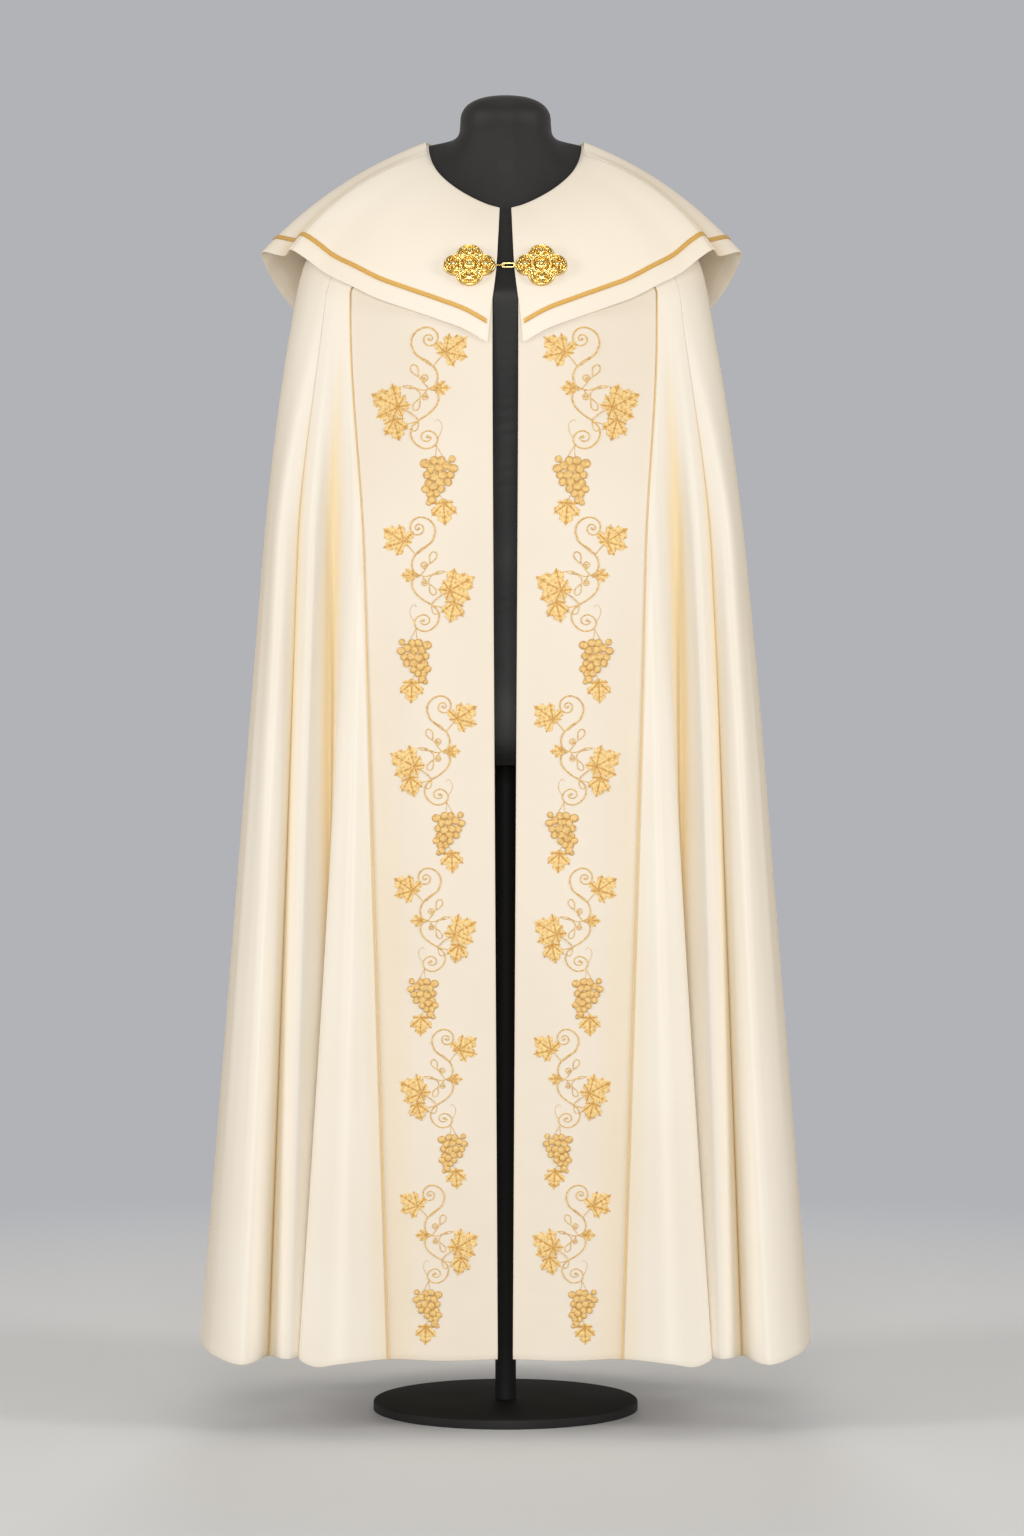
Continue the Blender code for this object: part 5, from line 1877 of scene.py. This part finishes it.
# --- Dress form ---
@dataclass
class DressForm:
    """A smooth limbless torso with its neck, whose shoulders carry the cope."""

    wardrobe: Wardrobe
    mantle: Mantle
    seat_gap: float = 1.4
    front_gap: float = 5.0
    neck_y: float = -3.0
    squareness: float = 2.3

    NECK_RINGS = (
        (1637.0, 16.0, 17.0),
        (1634.5, 33.0, 35.0),
        (1627.0, 48.0, 51.0),
        (1616.0, 55.5, 59.0),
        (1600.0, 57.0, 61.0),
        (1588.0, 60.0, 63.0),
    )
    TORSO_RINGS = (
        (1310.0, 206.0, 132.0, 112.0),
        (1230.0, 176.0, 117.0, 102.0),
        (1130.0, 148.0, 104.0, 90.0),
        (1050.0, 142.0, 98.0, 90.0),
        (960.0, 162.0, 106.0, 106.0),
        (880.0, 176.0, 112.0, 116.0),
        (820.0, 172.0, 108.0, 112.0),
        (804.0, 162.0, 100.0, 104.0),
    )

    def build(self) -> None:
        """Makes the form."""
        sheet = self.mantle.sheet
        columns = slice(0, None, 4)
        top = sheet.points[0, columns]
        turn = np.arctan2(top[:, 0], -top[:, 1])
        rings = []
        for z, half_width, half_depth in self.NECK_RINGS:
            y = self.neck_y - half_depth * np.cos(turn)
            rings.append(np.stack([half_width * np.sin(turn), y, np.full(len(turn), z)], -1))
        for row in range(self.mantle.dome_rows):
            place = sheet.points[row, columns]
            around = np.arctan2(place[:, 0], -place[:, 1])
            gap = self.seat_gap + self.front_gap * np.cos(around) ** 4
            rings.append(place - sheet.normals[row, columns] * gap[:, None])
        yoke, shape = sheet.points[self.mantle.dome_rows - 1, columns], self.mantle.yoke
        angles = np.degrees(np.arctan2(np.abs(yoke[:, 0]), -yoke[:, 1] * shape.half_width / shape.front))
        for z, half_width, front, back in self.TORSO_RINGS:
            oval = Oval(half_width, front, back, self.squareness)
            outline = np.array([oval.point(angle) for angle in angles])
            outline[:, 0] = np.copysign(outline[:, 0], yoke[:, 0])
            rings.append(np.concatenate([outline, np.full((len(outline), 1), z)], axis=1))
        steps = [3] * 5 + [8] + [1] * (self.mantle.dome_rows - 1) + [7] + [6] * 6 + [4]
        grid = catmull_rom(np.stack(rings), steps)
        points = np.concatenate([grid.reshape(-1, 3), [grid[0].mean(axis=0), grid[-1].mean(axis=0)]])
        uv = np.concatenate([uv_grid(travelled(yoke), travelled(grid[:, 0])[:, None]), [[0.0, 0.0]] * 2])
        body = MeshData(points, closed_rings(*grid.shape[:2]), uv)
        add_piece("form_body", body, [self.wardrobe["jersey"]], ["form_torso"])


@dataclass(frozen=True)
class Stand:
    """The pole and the round base under the form."""

    wardrobe: Wardrobe
    pole_radius: float = 13.0
    pole_bottom: float = 12.3
    pole_top: float = 803.7
    base_radius: float = 165.0
    base_height: float = 12.0
    edge_radius: float = 3.0

    @staticmethod
    def _spun(radius: float, low: float, high: float, rounds: tuple[float, float], sides: int) -> MeshData:
        """A cylinder about the Z axis.

        Args:
            radius: Its radius.
            low: The height of its lower end.
            high: The height of its upper end.
            rounds: The radii of the rounds at its lower and upper edges.
            sides: The number of sides.

        Returns:
            The mesh.
        """
        turns = np.linspace(0.0, math.pi / 2.0, 5)
        bottom, top = rounds
        lower = [(radius - bottom + bottom * math.sin(t), low + bottom - bottom * math.cos(t)) for t in turns]
        upper = [(radius - top + top * math.cos(t), high - top + top * math.sin(t)) for t in turns]
        profile = [(radius * 0.5, low), *lower, *upper, (radius * 0.5, high)]
        around = directions(sides)
        circle = np.stack([np.cos(around), np.sin(around), np.zeros(sides)], -1)
        rings = [circle * reach + (0.0, 0.0, z) for reach, z in profile]
        points = np.concatenate([*rings, [[0.0, 0.0, low], [0.0, 0.0, high]]])
        return MeshData(points, closed_rings(len(rings), sides))

    def build(self) -> None:
        """Makes the pole and the base."""
        coat = [self.wardrobe["coat"]]
        pole = self._spun(self.pole_radius, self.pole_bottom, self.pole_top, (0.5, 0.5), 64)
        add_piece("stand_pole", pole, coat, ["form_pole"])
        base = self._spun(self.base_radius, 0.0, self.base_height, (0.6, self.edge_radius), 160)
        add_piece("stand_base", base, coat, ["form_base"])


# --- Studio ---
@dataclass(frozen=True)
class Softbox:
    """A rectangular area light that faces a point."""

    name: str
    place: Colour
    target: Colour
    width: float
    height: float
    power: float
    colour: Colour = (1.0, 1.0, 1.0)
    mirrored: bool = True

    def build(self) -> None:
        """Makes the light; mirrored is False if shiny surfaces don't reflect it."""
        data = bpy.data.lights.new(self.name, "AREA")
        data.shape = "RECTANGLE"
        data.size, data.size_y = self.width, self.height
        data.energy = self.power
        data.color = self.colour
        light = bpy.data.objects.new(self.name, data)
        light.visible_camera = False
        light.visible_glossy = self.mirrored
        light.location = self.place
        light.rotation_euler = (Vector(self.target) - Vector(self.place)).to_track_quat("-Z", "Y").to_euler()
        bpy.context.scene.collection.objects.link(light)


@dataclass
class Studio:
    """The pale floor, the backdrop, the lights and the camera."""

    wardrobe: Wardrobe
    camera_place: Colour = (0.008, -5.0, 0.80)
    lens: float = 93.75
    ambient: float = 0.24
    ambient_colour: Colour = (1.0, 0.945, 0.87)
    backdrop: Colour = (0.44, 0.45, 0.475)
    floor_radius: float = 7.0
    floor_sides: int = 96
    sensor_height: float = 36.0
    LIGHTS = (
        Softbox("key", (-0.1, -5.3, 1.6), (0.0, 0.0, 1.1), 1.6, 1.7, 103.0, (1.0, 0.985, 0.96)),
        Softbox("low", (0.0, -4.6, 0.35), (0.0, 0.0, 1.3), 2.2, 0.6, 27.0, (1.0, 0.97, 0.92)),
        Softbox("fill_left", (-4.0, -1.9, 1.9), (0.0, 0.0, 1.15), 1.1, 2.2, 78.0, (1.0, 0.945, 0.87)),
        Softbox("fill_right", (4.0, -1.9, 1.9), (0.0, 0.0, 1.15), 1.1, 2.2, 78.0, (1.0, 0.945, 0.87)),
        Softbox("top", (0.0, -0.6, 4.2), (0.0, 0.0, 0.0), 3.0, 2.4, 14.0, (1.0, 0.97, 0.92)),
        Softbox("back", (0.0, 6.6, 1.9), (0.0, 0.0, 0.85), 1.9, 2.2, 250.0, (1.0, 0.975, 0.94), False),
    )

    def build(self) -> None:
        """Makes the studio."""
        scene = bpy.context.scene
        scene.view_settings.view_transform = "Standard"
        self._light_room(scene)
        for light in self.LIGHTS:
            light.build()
        self._lay_floor(scene)
        self._set_camera(scene)

    def _light_room(self, scene: bpy.types.Scene) -> None:
        """A soft light from all round, and the plain backdrop that the camera sees."""
        scene.world = bpy.data.worlds.new("studio")
        scene.world.use_nodes = True
        room = NodeTree(scene.world.node_tree)
        glow = room.tree.nodes["Background"]
        room.fill(glow, {"Color": (*self.ambient_colour, 1.0), "Strength": self.ambient})
        seen = room.add("ShaderNodeBackground", {}, {"Color": (*self.backdrop, 1.0)})
        path = room.add("ShaderNodeLightPath", {}, {})
        parts = {0: path.outputs["Is Camera Ray"], 1: glow.outputs[0], 2: seen.outputs[0]}
        mix = room.add("ShaderNodeMixShader", {}, parts)
        room.fill(room.tree.nodes["World Output"], {"Surface": mix.outputs[0]})

    def _lay_floor(self, scene: bpy.types.Scene) -> None:
        """A round floor, which doesn't throw its light up into the folds."""
        turns = directions(self.floor_sides)
        ring = [(self.floor_radius * math.cos(t), self.floor_radius * math.sin(t), 0.0) for t in turns]
        mesh = bpy.data.meshes.new("floor")
        mesh.from_pydata(ring, [], [tuple(range(self.floor_sides))])
        mesh.materials.append(self.wardrobe["floor"])
        floor = bpy.data.objects.new("floor", mesh)
        scene.collection.objects.link(floor)
        floor.visible_diffuse = False

    def _set_camera(self, scene: bpy.types.Scene) -> None:
        """The camera, which looks straight at the front."""
        data = bpy.data.cameras.new("camera")
        data.sensor_fit = "VERTICAL"
        data.sensor_height = self.sensor_height
        data.lens = self.lens
        camera = bpy.data.objects.new("camera", data)
        camera.location = self.camera_place
        camera.rotation_euler = (math.pi / 2.0, 0.0, 0.0)
        scene.collection.objects.link(camera)
        scene.camera = camera


class Cut(NamedTuple):
    """The cloth that a panel is cut from, in m and m², what it rests on and what goes with it."""

    piece: str
    width: float
    length: float
    area: float
    rests_on: str
    carries: tuple[str, ...] = ()

    def declare(self) -> None:
        """Looks up the panel and the pieces that go with it."""
        bpy.data.objects[self.piece]
        [bpy.data.objects[name] for name in self.carries]


CUTS = (
    Cut("left_orphrey_panel", 0.178, 1.496, 0.213, "form_body", ("embroidery_left", "piping_left_cord")),
    Cut("right_orphrey_panel", 0.174, 1.493, 0.212, "form_body", ("embroidery_right", "piping_right_cord")),
    Cut("left_side_panel", 0.307, 1.518, 0.224, "form_body"),
    Cut("right_side_panel", 0.307, 1.515, 0.223, "form_body"),
    Cut("back_panel", 1.843, 1.566, 1.923, "form_body"),
    Cut("cape_left_panel", 0.293, 0.224, 0.043, "left_orphrey_panel",
        ("braid_left_band", "clasp_plate_left")),
    Cut("cape_right_panel", 0.286, 0.219, 0.042, "right_orphrey_panel",
        ("braid_right_band", "clasp_plate_right")),
    Cut("cape_back_panel", 1.097, 0.365, 0.214, "back_panel", ("braid_back_band",)),
)


def main() -> None:
    """Builds every piece, looks up the cut panels, then makes the studio."""
    logging.basicConfig(level=logging.INFO, format="%(name)s: %(message)s")
    wardrobe = Wardrobe()
    mantle = Mantle(wardrobe)
    mantle.build()
    Piping(wardrobe, mantle).build()
    Embroidery(wardrobe, mantle).build()
    cape = Cape(wardrobe)
    cape.build()
    Braid(wardrobe, cape).build()
    Clasp(wardrobe).build()
    DressForm(wardrobe, mantle).build()
    Stand(wardrobe).build()
    for cut in CUTS:
        cut.declare()
    Studio(wardrobe).build()


if __name__ == "__main__":
    main()
